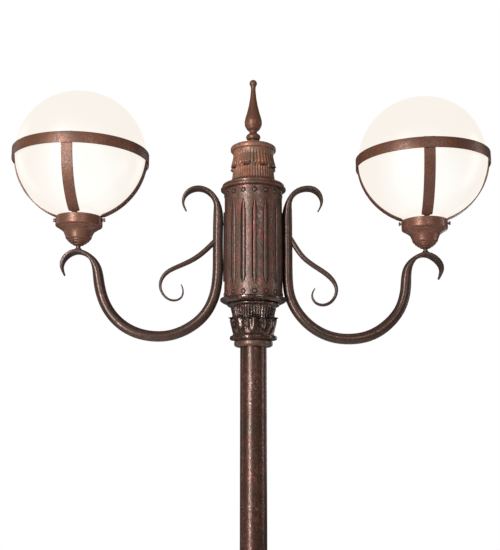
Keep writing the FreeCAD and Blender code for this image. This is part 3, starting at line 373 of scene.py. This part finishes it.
def simpleGloss(name, colour, rough, extra=None, mottleMm=12):
    # glazed ceramic or clear glass with a faint unevenness in its gloss
    material, tree, shader, where = newMaterial(name)
    shader.inputs["Base Color"].default_value = toLinear(colour)
    mottle = addNode(tree, "ShaderNodeTexNoise", inputs={
        "Vector": where, "Scale": 1000 / mottleMm, "Detail": 2.0, "Roughness": 0.55}).outputs["Fac"]
    roughness = addNode(tree, "ShaderNodeMapRange", inputs={
        "Value": mottle, "To Min": rough * 0.7, "To Max": rough * 1.4}).outputs[0]
    tree.links.new(roughness, shader.inputs["Roughness"])
    for key, value in (extra or {}).items():
        shader.inputs[key].default_value = value
    return material


castPaint = agedPaint("rubbedRustOnCastAluminium", "#0e0705", "#543a2f", "#76392c", "#463a2d", "#bda392",
                      paleMost=0.38, rough=0.36, hammer=0.4)
# a lighter, oranger copy of the cast paint for the upper capital and crown cap; its extra brightness is
# painted light on the top pieces
litCastPaint = agedPaint("rustOnCastAluminiumPaintedLit", "#160b07", "#7c5644", "#a8623f", "#685442", "#d3ae9a",
                     redMost=0.7, paleMost=0.3, rough=0.42, hammer=0.3)
# a darker copy of the cast paint for the undersides, the lower capital and the drum's floor rim: painted
# shade
shadedCastPaint = agedPaint("castAluminiumPaintedShade", "#070302", "#3f2c23", "#562f26", "#352b21", "#dccbbd",
                       paleMost=0.4, rough=0.2, hammer=0.15, metallic=0.55)
postPaint = agedPaint("rubbedRustOnSteelTube", "#0c0604", "#44291f", "#55291f", "#3a291f", "#c2a896",
                      paleMost=0.35, rough=0.29, hammer=0.5, metallic=0.45, hollows=False)
ironPaint = agedPaint("agedBronzeOnForgedSteel", "#0c0705", "#422d24", "#56302a", "#372b21", "#9d8576",
                      redMost=0.5, paleMost=0.2, rough=0.3, hammer=0.2, metallic=0.4, hollows=False)
fitterPaint = agedPaint("rustGlazeOnSpunSteel", "#24130c", "#6f4737", "#784334", "#604635", "#b59683",
                        oliveMost=0.4, paleMost=0.25, rough=0.38, hammer=0.12, metallic=0.4, hollows=False)
strapPaint = agedPaint("rustGlazeOnSteelStrap", "#2a170e", "#5f3c2c", "#6d3d27", "#503a2a", "#a3836f",
                       oliveMost=0.4, paleMost=0.25, rough=0.42, hammer=0.15, hollows=False)
barPaint = agedPaint("blackGlazeOnSteelBar", "#050302", "#0e0907", "#150b08", "#0c0906", "#241a14", rough=0.8,
                     hammer=0.1, metallic=0.0, hollows=False)
# near-black paint for the thin rings round the studs: painted shade in the recess round each stud
studShadePaint = agedPaint("paintedShadeRoundStuds", "#060302", "#120a07", "#1a0d09", "#100b08", "#33241b",
                        rough=0.6, hammer=0.2, hollows=False)
zincSteel = plainMetal("hotDipGalvanisedSteel", "#9da1a3", "#7d8183", 0.5)
blackSteel = plainMetal("blackOxideScrewSteel", "#2b2523", "#191514", 0.5)
brownBrass = plainMetal("brownedBrassScrew", "#6d4c33", "#4a3020", 0.45)
yellowBrass = plainMetal("drawnBrass", "#c9a255", "#a98341", 0.32)
porcelain = simpleGloss("glazedPorcelain", "#ece8df", 0.15)
bulbGlass = simpleGloss("frostedBulbGlass", "#8a8272", 0.45, {"Emission Color": toLinear("#ffe7bd"),
                                                               "Emission Strength": 0.75})
print("materials made")


def finished(piece, body, material, replaced):
    # puts a piece on its body in place of CAD nodes
    piece.data.materials.clear()
    piece.data.materials.append(material)
    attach(piece, body)
    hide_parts(*replaced)
    return piece


# drum, its rims and lid
front = -90.0  # the viewer's side, in degrees round the axis from +X

drum = {"low": 1765.0, "high": 2090.0, "r": 84.6, "bore": 77.6, "flutes": 16, "half": 5.5, "deep": 3.8,
        "from": 1803.0, "to": 2053.0, "lancet": 26.0, "spire": 52.0, "studLow": 1781.0, "studHigh": 2075.0}


def makeDrum():
    # columns follow the flutes' outlines: angle = centre + s * halfWidth(z) inside a flute and evenly
    # across the land between two flutes. halfWidth falls to a point over the lancet and the spire,
    # and radius = r - deep * depthShare(s), deepest in a groove just inside the outline
    inFlute = np.array([-1, -0.9, -0.76, -0.58, -0.3, 0, 0.3, 0.58, 0.76, 0.9, 1])
    depthShare = np.array([0, 0.85, 1, 0.55, 0.3, 0.2, 0.3, 0.55, 1, 0.85, 0])
    grooveShare = np.array([0.5, 1, 1, 0.6, 0.1, 0, 0.1, 0.6, 1, 1, 0.5])
    land = np.linspace(0, 1, 6)[1:-1]
    start, stop, lancet, spire = drum["from"], drum["to"], drum["lancet"], drum["spire"]
    tips = 1 - np.cos(np.linspace(0, np.pi / 2, 15))
    heights = np.concatenate([[drum["low"], drum["low"] + 1.0], np.linspace(drum["low"] + 14, start - 4, 3),
                              start + lancet * tips, np.linspace(start + lancet, stop - spire, 12)[1:-1],
                              (stop - spire * tips)[::-1], np.linspace(stop + 4, drum["high"] - 10, 3),
                              [drum["high"] - 1.0, drum["high"]]])
    rise = np.clip(np.minimum((heights - start) / lancet, (stop - heights) / spire), 0, 1)
    share = np.sin(rise * np.pi / 2) ** 0.9
    upper = np.clip((heights - start) / (stop - start), 0, 1)[:, None]
    half = np.maximum(drum["half"] * share, 0.02)[:, None]
    pitch = 360 / drum["flutes"]
    columns, depths, paintedShade, blush = [], [], [], []
    for k in range(drum["flutes"]):
        centre = front + pitch * k
        columns.append(centre + inFlute[None, :] * half)
        depths.append(drum["deep"] * np.minimum(1, 1.2 * share)[:, None] * depthShare[None, :])
        columns.append(centre + half + land[None, :] * (pitch - 2 * half))
        depths.append(np.zeros((len(heights), len(land))))
        cut = (share > 0.05).astype(float)[:, None]
        # painted shade along the groove just inside each flute's outline
        paintedShade += [cut * grooveShare, np.zeros((len(heights), len(land)))]
        worn = upper * (0.55 + 0.4 * math.cos(2.4 * k))
        blush += [cut * (1 - grooveShare) * worn, np.zeros((len(heights), len(land)))]
    angle, depth = np.radians(np.hstack(columns)), np.hstack(depths)
    radius = drum["r"] - depth
    radius[0], radius[-1] = drum["r"] - 1, drum["r"] - 1
    outside = np.stack([radius * np.cos(angle), radius * np.sin(angle), heights[:, None] + 0 * angle], -1)
    bore = [np.stack([drum["bore"] * np.cos(angle[0]), drum["bore"] * np.sin(angle[0]), z + 0 * angle[0]], -1)
            for z in (drum["high"], drum["low"])]
    points = np.vstack([outside, np.array(bore)])
    rows, count = points.shape[:2]
    faces = gridFaces(rows, count, True, True)
    piece = facedOutwards(meshFrom("fluted_drum", points.reshape(-1, 3), faces, 30))
    for label, values in (("paintedShade", np.hstack(paintedShade)), ("blush", np.hstack(blush))):
        stored(piece.data, label, np.vstack([values, np.zeros((2, count))]).reshape(-1))
    return piece


def turnedOnWall(name, profile, places, segments=28):
    # small turned pieces stand on a round wall: their own axis points outwards at (angle, radius, height).
    # point = radial * (radius + height of profile) + r cos t * tangent + r sin t * up
    points, faces = [], []
    for angle, radius, height in places:
        a = math.radians(angle)
        out, side = np.array([math.cos(a), math.sin(a), 0]), np.array([-math.sin(a), math.cos(a), 0])
        turn = 2 * np.pi * np.arange(segments) / segments
        circle = np.cos(turn)[None, :, None] * side + np.sin(turn)[None, :, None] * [0, 0, 1]
        flat = profile[:, :1, None] * circle
        ring = flat + (radius + profile[:, 1:, None]) * out + np.array([0, 0, height])
        first = len(points) * len(profile) * segments
        points.append(ring.reshape(-1, 3))
        block = gridFaces(len(profile), segments, False, True, first)
        tip = first + (len(profile) - 1) * segments
        faces += block + [list(range(first, first + segments))[::-1], list(range(tip, tip + segments))]
    return facedOutwards(meshFrom(name, np.vstack(points), faces, 50))


stud = {"boss": [(5.0, -2.0), (5.0, 0.7), (4.2, 1.5), (2.6, 1.9), (0.4, 2.0)],
        "moat": [(8.0, -1.6), (8.0, 0.1), (7.6, 0.4), (6.9, 0.2), (4.4, 0.2)]}

finished(makeDrum(), "post", castPaint, ["drum"])
studPlaces = [(front + 360 / drum["flutes"] * k, drum["r"], height)
              for k in range(drum["flutes"]) for height in (drum["studLow"], drum["studHigh"])]
# each stud sits in a thin near-black ring that stands for the shade in its recess
for name, rows, paint in (("drum_studs", stud["boss"], castPaint),
                          ("glaze_round_studs", stud["moat"], studShadePaint)):
    finished(turnedOnWall(name, np.array(rows), studPlaces), "post", paint, [])

floorRing = lathe("drum_floor_rim", roundedProfile([
    (38.5, 1755), (84, 1755, 2), (91, 1758.5, 5), (96.3, 1762.5, 3), (96.3, 1767.5, 2.6), (93, 1770.5, 2),
    (84.9, 1770.5), (84.9, 1765), (38.5, 1765)]))
finished(floorRing, "post", shadedCastPaint, ["drum_floor"])

print("drum made")

# capitals: a bead, a fluted neck and eight round leaves
capital = {"leaves": 8, "flutes": 48, "fluteDeep": 2.6, "leafEnd": 86.0, "fadeEnd": 84.0, "lip": 2.6,
           "lipOut": 2.2, "creaseDeep": 1.5, "ribDeep": 0.9, "seamDeep": 1.8, "core": 56}
upperCapital = {
    "z": 2122.0, "way": 1, "turn": 22.5, "neck": -12.0, "tip": 34.0, "arch": 7.0, "power": 2.6, "dip": 11.0,
    "wave": 0.0, "soft": 9.0, "relief": 1.15, "gloom": 0.2, "arc": 0.42, "flush": 1.0, "ribs": 5, "seam": 0.2,
    "groove": 0.4,
    "leaf": [(30, 7.2), (38, 6.8), (47, 5.2), (59, 2.4), (72, 0.8), (84, 0.0)],
    "profile": [(30, 0), (64.5, 0), (62.6, 11), (61.2, 22), (60.6, 34), (60, 47), (59.4, 59), (58.5, 72, 20),
                (60.5, 86, 2), (62, 88, 0.5), (67.3, 90, 4), (67.8, 96, 6), (66.5, 102.5, 6), (60, 105, 3),
                (30, 105)]}
lowerCapital = {
    "z": 1755.0, "way": -1, "turn": 0.0, "neck": 13.0, "tip": 38.0, "arch": 14.0, "power": 1.6, "dip": 0.0,
    "wave": 1.0, "soft": 0.0, "relief": 1.9, "gloom": 0.6, "arc": 3.0, "flush": 0.0, "ribs": 2, "seam": 0.45,
    "groove": 0.8,
    "leaf": [(34, 6.8), (41, 6.8), (53, 5.4), (65, 3.6), (76, 2.0), (88, 0.6)],
    "profile": [(40, 0), (72, 0, 1), (76, 2, 2), (76, 6, 2.5), (71, 9, 2), (66, 11, 2), (65, 18), (62, 30),
                (60.6, 41), (60.4, 53), (59.4, 65), (59, 76), (58.6, 90, 6), (63, 94, 1.5), (66.5, 94.6, 1),
                (67.8, 97, 2), (67.8, 103, 2.2), (66, 105, 1), (40, 105)]}


def leafField(shape):
    # h is the distance from the capital's end at the drum and s runs -1..1 across a leaf. The leaf's edge
    # is at h = tip + arch * |s|^power + wave * cos(3 pi s), less a dip near |s| = 1. Past the edge the leaf
    # stands out by its own curve, with a raised lip, a crease behind it, ribs and seams; before it the neck
    # is fluted
    knots = np.array(shape["leaf"], float)

    def field(angle, z, radius):
        h = (z - shape["z"]) * shape["way"]
        pitch = 360 / capital["leaves"]
        s = ((angle - front - shape["turn"] + pitch / 2) % pitch - pitch / 2) / (pitch / 2)
        off = np.abs(s)
        edge = shape["tip"] + shape["arch"] * off ** shape["power"] + shape["wave"] * np.cos(3 * np.pi * s)
        edge = edge - shape["dip"] * np.clip((off - 0.7) / 0.3, 0, 1)
        past = h - edge
        cover = np.clip(past / (1.8 + shape["soft"] * np.exp(-((off - 0.72) / 0.2) ** 2)), 0, 1)
        cover = cover * cover * (3 - 2 * cover)
        bulge = np.interp(h, knots[:, 0], knots[:, 1]) * (1 - 0.28 * off ** 3)
        inner = np.clip(1.25 - 1.25 * off ** 4, 0, 1)
        crease = np.exp(-((past - 6.5 - 3 * off ** 2) / 1.7) ** 2) * (off < 0.62)
        lip = capital["lipOut"] * np.exp(-((past - 1.6) / capital["lip"]) ** 2) * inner
        lip = lip - capital["creaseDeep"] * crease
        ridge = np.cos(np.pi * shape["ribs"] * s * (1.15 - h / 400))
        ribs = capital["ribDeep"] * ridge * np.clip((capital["leafEnd"] - h) / 20, 0, 1)
        groove = 0.5 - 0.5 * np.cos(np.radians(capital["flutes"] * angle))
        flute = -capital["fluteDeep"] * (0.5 + 0.6 * shape["groove"]) * groove ** 1.4
        neck = np.clip((h - shape["neck"]) / 3, 0, 1) * np.clip((capital["leafEnd"] - h) / 8, 0, 1)
        fading = np.clip((capital["fadeEnd"] - h) / 10, 0, 1)
        seamLine = shape["seam"] * np.exp(-((off - 1) / 0.09) ** 2) * fading
        carved = bulge + shape["relief"] * (lip + ribs - capital["seamDeep"] * seamLine)
        grown = cover * carved + (1 - cover) * flute * neck
        # painted shade lies under the leaf's edge, in the crease, flutes and seams and between the ribs
        tips = np.exp(-(s / shape["arc"]) ** 4) + 0.6 * np.exp(-((off - 1) / 0.12) ** 2)
        under = np.exp(-((past + 0.4) / 1.7) ** 2) * np.clip(tips, 0, 1)
        worn = np.exp(-((past + 6) / 4) ** 2) * np.exp(-((off - 0.3) / 0.3) ** 2) * shape["flush"]
        grooved = (1 - cover) * neck * groove ** 2
        shaded = cover * shape["gloom"] * np.clip(-ridge, 0, 1) * fading
        dark = 0.95 * under + 0.9 * crease + shape["groove"] * grooved + 0.9 * cover * seamLine + shaded
        dark = np.clip(dark, 0, 1)
        shaped = (h <= capital["leafEnd"]) & (radius > capital["core"])
        return np.where(shaped, grown, 0), np.where(shaped, dark, 0), np.where(shaped, worn, 0)
    return field


for name, shape, node, paint in (("leafed_capital_top", upperCapital, "upper_capital", litCastPaint),
                                ("leafed_capital_under", lowerCapital, "lower_capital", shadedCastPaint)):
    corners = [(row[0], shape["z"] + shape["way"] * row[1], *row[2:]) for row in shape["profile"]]
    profile = splitLong(roundedProfile(corners, 20), 1.7)
    finished(lathe(name, profile, 448, leafField(shape), sharpAngle=60), "post", paint, [node])

# the lid's top narrows to the capital's fluted neck
lidProfile = roundedProfile([
    (20, 2090), (92, 2090, 2), (96.3, 2091.5, 2.2), (96.3, 2096.5, 2.4), (93, 2098, 1), (89.5, 2098.6, 1),
    (89.5, 2100, 1), (91.5, 2101.5, 1.5), (91.5, 2106, 2), (89, 2108.2, 2), (68.5, 2109.4, 3), (64.5, 2122),
    (20, 2122)])
lid = lathe("drum_lid_band", splitLong(lidProfile, 3), 448, leafField(upperCapital))
finished(lid, "post", castPaint, ["drum_lid"])

slip = lathe("collar_under_capital", splitLong(roundedProfile([
    (38.4, 1630), (50, 1630, 1), (55.5, 1634, 4), (55.5, 1644, 4), (51, 1649, 2), (51, 1650),
    (38.4, 1650)]), 6))
finished(slip, "post", castPaint, ["slip_collar"])
crown = lathe("crown_cap_turned", roundedProfile([
    (6.2, 2215), (52, 2215), (52, 2227), (59.5, 2227), (59.8, 2228, 0.5), (44, 2231, 8), (24, 2235, 3),
    (6.2, 2235)]))
finished(crown, "post", litCastPaint, ["crown_cap"])

# the finial is a bead, a neck, a slim urn, a thin neck and a ball
finialShape = [(6.1, 2235), (15, 2235), (16, 2238, 1), (13, 2243, 3), (13, 2247, 2), (19, 2250, 3),
               (22.3, 2257.5, 6), (19, 2264, 4), (12, 2269, 4), (10.7, 2273, 4), (13, 2277, 5),
               (18.6, 2281.5, 8), (25.4, 2294, 12), (26.2, 2306, 14), (23.4, 2319, 30), (19.3, 2332, 40),
               (13.4, 2357, 60), (9.3, 2382, 50), (7.2, 2405, 20), (7.0, 2412, 6), (8.4, 2419, 2)]
ballTurn = np.radians(np.linspace(-52, 90, 16))
finialProfile = np.vstack([roundedProfile(finialShape),
                           np.stack([11.4 * np.cos(ballTurn), 2427.6 + 11.4 * np.sin(ballTurn)], -1)])
finialProfile[-1, 0] = 0
finialProfile = np.vstack([[[0, 2269]], [[6.1, 2269]], finialProfile])
finished(lathe("finial_turned", finialProfile, 96), "post", strapPaint, ["finial"])
print("capitals made")

# arms: one tube with both ends beaten out to hooked straps
# knots are (distance from the axis, height, thickness, width, squareness, channel)
arms = {
    "left": [(198, 2031, 5, 11, 3, 0.2), (206, 2053, 8, 24, 3.4, 0.3), (199, 2079, 11, 38, 4, 0.35),
             (177, 2094.5, 12, 43, 4.2, 0.4), (150, 2095.5, 12.5, 43, 4, 0.35),
             (124, 2080, 16, 39, 3.2, 0.25), (109, 2056, 20, 33, 2.4, 0.1), (104, 2030, 27, 31, 2, 0),
             (103.5, 1985, 30, 30, 2, 0), (103.5, 1900, 30, 30, 2, 0), (104.5, 1830, 31, 31, 2, 0),
             (112, 1782, 31, 31, 2, 0), (139, 1725, 31, 31, 2, 0), (186, 1684, 31, 31, 2, 0),
             (238, 1663, 30.6, 31, 2, 0), (289, 1660, 30.6, 31, 2, 0), (341, 1672, 31, 31, 2, 0),
             (393, 1706, 31, 31, 2, 0), (428, 1756, 31, 31, 2, 0), (446, 1818, 31, 31, 2, 0),
             (457, 1865, 25, 35, 2.6, -0.1), (479, 1893, 15, 42, 3.6, -0.3),
             (510, 1903.6, 12.6, 45, 4.5, -0.4), (540, 1890.5, 12.6, 45, 4.5, -0.4),
             (553, 1864, 10.5, 32, 4, -0.3), (545, 1836, 5.5, 11, 3, -0.2)],
    "right": [(192, 2033, 4.5, 10, 3, 0.2), (202, 2057, 8, 24, 3.4, 0.3), (196, 2082, 11, 38, 4, 0.35),
              (180, 2096.5, 12, 43, 4.2, 0.4), (152, 2099.5, 12.5, 43, 4, 0.35),
              (124, 2087, 15, 39, 3.2, 0.25), (107, 2062, 19, 33, 2.4, 0.1), (101, 2034, 27, 31, 2, 0),
              (99.8, 1985, 30, 30, 2, 0), (99.8, 1900, 30, 30, 2, 0), (100, 1832, 30.6, 30.6, 2, 0),
              (105, 1783, 31, 31, 2, 0), (126, 1735, 31, 31, 2, 0), (168, 1689, 31, 31, 2, 0),
              (222, 1661, 31, 31, 2, 0), (278, 1654, 31, 31, 2, 0), (338, 1665, 32, 31, 2, 0),
              (391, 1698, 32, 31, 2, 0), (428, 1744, 31, 31, 2, 0), (446, 1806, 31, 31, 2, 0),
              (456, 1866, 24, 35, 2.6, -0.1), (476, 1892, 15, 42, 3.6, -0.3),
              (507, 1903.6, 12.6, 45, 4.5, -0.4), (538, 1890, 12.6, 45, 4.5, -0.4),
              (553.5, 1863, 11, 34, 4, -0.3), (545, 1834, 6.5, 14, 3, -0.2)]}
scrolls = {
    "left": [(106, 1946, 15.5), (128, 1923, 15.5), (171, 1887, 15), (222, 1861.5, 13.5), (257, 1839, 12),
             (269.5, 1808, 8.6), (259, 1779, 6.8), (232, 1763.5, 6.4), (209, 1772, 5.6), (204, 1795, 4.4),
             (209, 1810, 3)],
    "right": [(102, 1960, 15.5), (118, 1934, 15.5), (144, 1896, 15.2), (190, 1860, 15), (228, 1830, 14.2),
              (242, 1802, 10.5), (234, 1771, 9.2), (207, 1753, 8.8), (180, 1760, 7.6), (171, 1781, 5.6),
              (179, 1801, 3.2)]}


def widened(section):
    # from (u, z, diameter) to the full row of a bar's section
    return [(u, z, thick, thick, 2, 0) for u, z, thick in section]


for side, way in (("left", -1), ("right", 1)):
    for name, knots, node in ((f"{side}_forged_arm", arms[side], f"{side}_arm"),
                              (f"{side}_forged_scroll", widened(scrolls[side]), f"{side}_scroll")):
        stations = splineThrough(knots, 420 if node.endswith("arm") else 180)
        finished(bar(name, stations, way), "post", ironPaint, [node])
print("arms made")

# lamp heads
head = {"reach": 508.43, "shelf": 1986.0, "top": 2007.0, "globeZ": 2191.98, "globeR": 190.5,
        "wall": 4.0, "neck": 54.0, "ringR": 198.8, "strap": 3.2, "ringMid": 2184.98, "strapWide": 31.75,
        "rim": 62.9, "tongue": 15}
fitterShape = [(6.7, 1923.5), (15, 1923.5), (17, 1925.5, 1.6), (17.5, 1927, 1), (22.5, 1928.5, 1),
               (25.5, 1931, 2.4), (25, 1933, 1), (29.5, 1934.2, 1), (31.6, 1937, 2.6), (30.8, 1939, 1),
               (34.6, 1940.4, 1), (37, 1943.5, 2.6), (38, 1948, 4), (40.6, 1955, 20), (44.2, 1963, 10),
               (51, 1968.5, 9), (57.5, 1972.8, 5), (60, 1976.2, 3), (65.2, 1977.4, 2), (67.6, 1980, 1.8),
               (67.6, 2005.6, 1.4), (64.6, 2007, 1.2), (64.6, 1986), (46, 1986), (32, 1954), (22.5, 1938),
               (6.7, 1938)]


def globeProfile():
    # two concentric spheres and the straight neck between them, from pole to pole
    middle, inner, outer = head["globeZ"], head["globeR"] - head["wall"], head["globeR"]
    reachIn = math.asin((head["neck"] - head["wall"]) / inner)
    reachOut = math.asin((head["neck"] + 2) / outer)
    inside = np.linspace(0, math.pi - reachIn, 60)
    outside = np.linspace(math.pi - reachOut, 0, 84)
    rows = [np.stack([inner * np.sin(inside), middle + inner * np.cos(inside)], -1),
            [[head["neck"] - head["wall"], head["shelf"] + 1], [head["neck"] - 3, head["shelf"]],
             [head["neck"] - 1, head["shelf"]], [head["neck"], head["shelf"] + 1],
             [head["neck"], middle - outer * math.cos(reachOut) - 4]],
            np.stack([outer * np.sin(outside), middle + outer * np.cos(outside)], -1)]
    profile = np.vstack(rows)
    profile[0, 0] = profile[-1, 0] = 0
    return profile


def ribPath():
    # the strap's middle line: an arc round the globe's centre from the ring to the rim, then a tongue
    mid, rim = head["ringR"] - 1.5 * head["strap"], head["rim"]
    end = math.acos(rim / mid)
    turn = -np.linspace(math.radians(-2.5), end, 40)
    arc = np.stack([mid * np.cos(turn), head["globeZ"] + mid * np.sin(turn)], -1)
    corners = [tuple(arc[-2]), (*arc[-1], 3.0), (rim, head["top"] - 16)]
    line = np.vstack([arc[:-2], roundedProfile(corners, 10)])
    narrow, full = head["tongue"], head["strapWide"]
    wide = np.interp(line[:, 0], [rim, 66.5, 69, 200], [narrow, narrow, full, full])
    extra = np.tile([10.0, 0.0], (len(line), 1))
    return np.column_stack([line, np.full(len(line), head["strap"]), wide, extra])


for side, way, spin in (("left", -1, -3.2), ("right", 1, -7.8)):
    centre = (way * head["reach"], 0, 0)
    cup = lathe(f"{side}_fitter_spun", roundedProfile(fitterShape), 112, centre=centre)
    finished(cup, "post", fitterPaint, [f"{side}_fitter_cup"])
    foot = lathe(f"{side}_stem_flange", roundedProfile([
        (6.7, 1910), (10, 1910), (10.4, 1911.5, 0.8), (8, 1914.9, 2), (6.7, 1915)]), 64, centre=centre)
    finished(foot, "post", fitterPaint, [f"{side}_stem_foot"])
    ball = lathe(f"{side}_opal_ball", globeProfile(), 160, centre=centre)
    # the hot spot is a painted highlight at a fixed point on the globe's front, low and towards the post
    paintedHotSpotPlace = (way * (head["reach"] - 33) * 0.001, -0.155, 2.087)
    finished(ball, f"{side}_globe", opalAcrylic(f"{side}OpalAcrylic", paintedHotSpotPlace),
             [f"{side}_globe", f"{side}_globe_neck"])
    low, high = head["ringMid"] - head["strapWide"] / 2, head["ringMid"] + head["strapWide"] / 2
    outer, inner = head["ringR"], head["ringR"] - head["strap"]
    ring = lathe(f"{side}_cage_band", roundedProfile([
        (outer, head["ringMid"]), (outer, high, 1.1), (inner, high, 1.1), (inner, low, 1.1),
        (outer, low, 1.1),
        (outer, head["ringMid"] - 0.5)], 30), 180, centre=centre)
    finished(ring, "post", strapPaint, [f"{side}_cage_ring"])
    facing = spin + (180 if way < 0 else 0)
    quarters = [bar(f"{side}_rib_{k}", ribPath(), 1, 32, centre, facing + 90 * k) for k in range(4)]
    finished(joined(f"{side}_cage_straps", quarters), "post", strapPaint, [f"{side}_cage_ribs"])
print("heads made")

# pieces that keep the CAD shape
kept = {"post_tube": postPaint, "base_cover": castPaint, "base_plate": zincSteel,
        "access_door": postPaint, "post_plug": zincSteel, "tie_rod": zincSteel, "tie_nuts": zincSteel,
        "collar_screws": blackSteel, "cover_screws": blackSteel, "door_screws": blackSteel,
        "mount_bar": barPaint, "bar_screws": blackSteel, "stem": ironPaint, "stem_nut": blackSteel,
        "inner_thumb_screw": fitterPaint, "outer_thumb_screw": fitterPaint, "lampholder": porcelain,
        "screw_shell": yellowBrass, "lamp_contact": brownBrass, "bulb_cap": yellowBrass,
        "bulb_glass": bulbGlass}
for name, node in nodes.items():
    kind = name.split("_", 1)[1] if name.startswith(("left_", "right_")) else name
    if kind in kept:
        for place in node.material_slots:
            place.material = kept[kind]
print("kept pieces painted")


def areaLight(name, azimuth, height, distance, size, power, glossy=True):
    # a soft box facing the drum; azimuth 0 is the viewer's side and 90 the right. One that isn't glossy
    # lights the paint without showing in its gloss, where it would eat into the outlines
    data = bpy.data.lights.new(name, "AREA")
    data.shape, data.size, data.size_y = "RECTANGLE", size[0], size[1]
    data.energy = power
    light = bpy.data.objects.new(name, data)
    turn = math.radians(azimuth)
    light.location = (distance * math.sin(turn), -distance * math.cos(turn), height)
    aim = Vector((0, 0, 1.75)) - light.location
    light.rotation_euler = aim.to_track_quat("-Z", "Y").to_euler()
    light.visible_glossy = glossy
    bpy.context.scene.collection.objects.link(light)


# azimuth, height, distance, size, watts, and whether it shows in the gloss
softBoxes = {"left_softbox": (-34, 1.9, 2.6, (0.34, 2.6), 105),
             "front_fill": (16, 2.7, 3.2, (1.2, 1.2), 16),
             "right_softbox": (88, 2.0, 2.6, (0.3, 2.4), 14),
             "back_left_softbox": (-112, 2.1, 2.4, (0.4, 2.4), 5),
             "back_right_softbox": (140, 2.2, 2.6, (0.6, 2.2), 8),
             "back_softbox": (179, 1.9, 2.8, (0.4, 2.6), 60, False),
             "top_softbox": (0, 4.6, 0.3, (2.6, 2.6), 38, False)}
for name, settings in softBoxes.items():
    areaLight(name, *settings)

# the backdrop is white, and its light on the object is dimmed so that the soft boxes model the shapes
world = bpy.data.worlds.new("white studio")
world.use_nodes = True
sky = world.node_tree
sky.nodes.clear()
seen = addNode(sky, "ShaderNodeBackground", inputs={"Color": (1, 1, 1, 1), "Strength": 1.0})
given = addNode(sky, "ShaderNodeBackground", inputs={"Color": (1, 1, 1, 1), "Strength": 0.07})
ray = addNode(sky, "ShaderNodeLightPath")
mixed = addNode(sky, "ShaderNodeMixShader", inputs={0: ray.outputs["Is Camera Ray"], 1: given.outputs[0],
                                                    2: seen.outputs[0]})
skyOut = addNode(sky, "ShaderNodeOutputWorld")
sky.links.new(mixed.outputs[0], skyOut.inputs["Surface"])
bpy.context.scene.world = world

floorHalf = 4500
floorCorners = [(-floorHalf, -floorHalf, 0), (floorHalf, -floorHalf, 0), (floorHalf, floorHalf, 0),
                (-floorHalf, floorHalf, 0)]
floorPlane = meshFrom("studio_floor", floorCorners, [[0, 1, 2, 3]])
floorMaterial, _, floorShader, _ = newMaterial("matteStudioPaper")
floorShader.inputs["Base Color"].default_value = toLinear("#e2e2e4")
floorShader.inputs["Roughness"].default_value = 0.8
floorPlane.data.materials.append(floorMaterial)

scene = bpy.context.scene
scene.view_settings.view_transform = "Standard"
scene.view_settings.look = "None"
print("stage set")
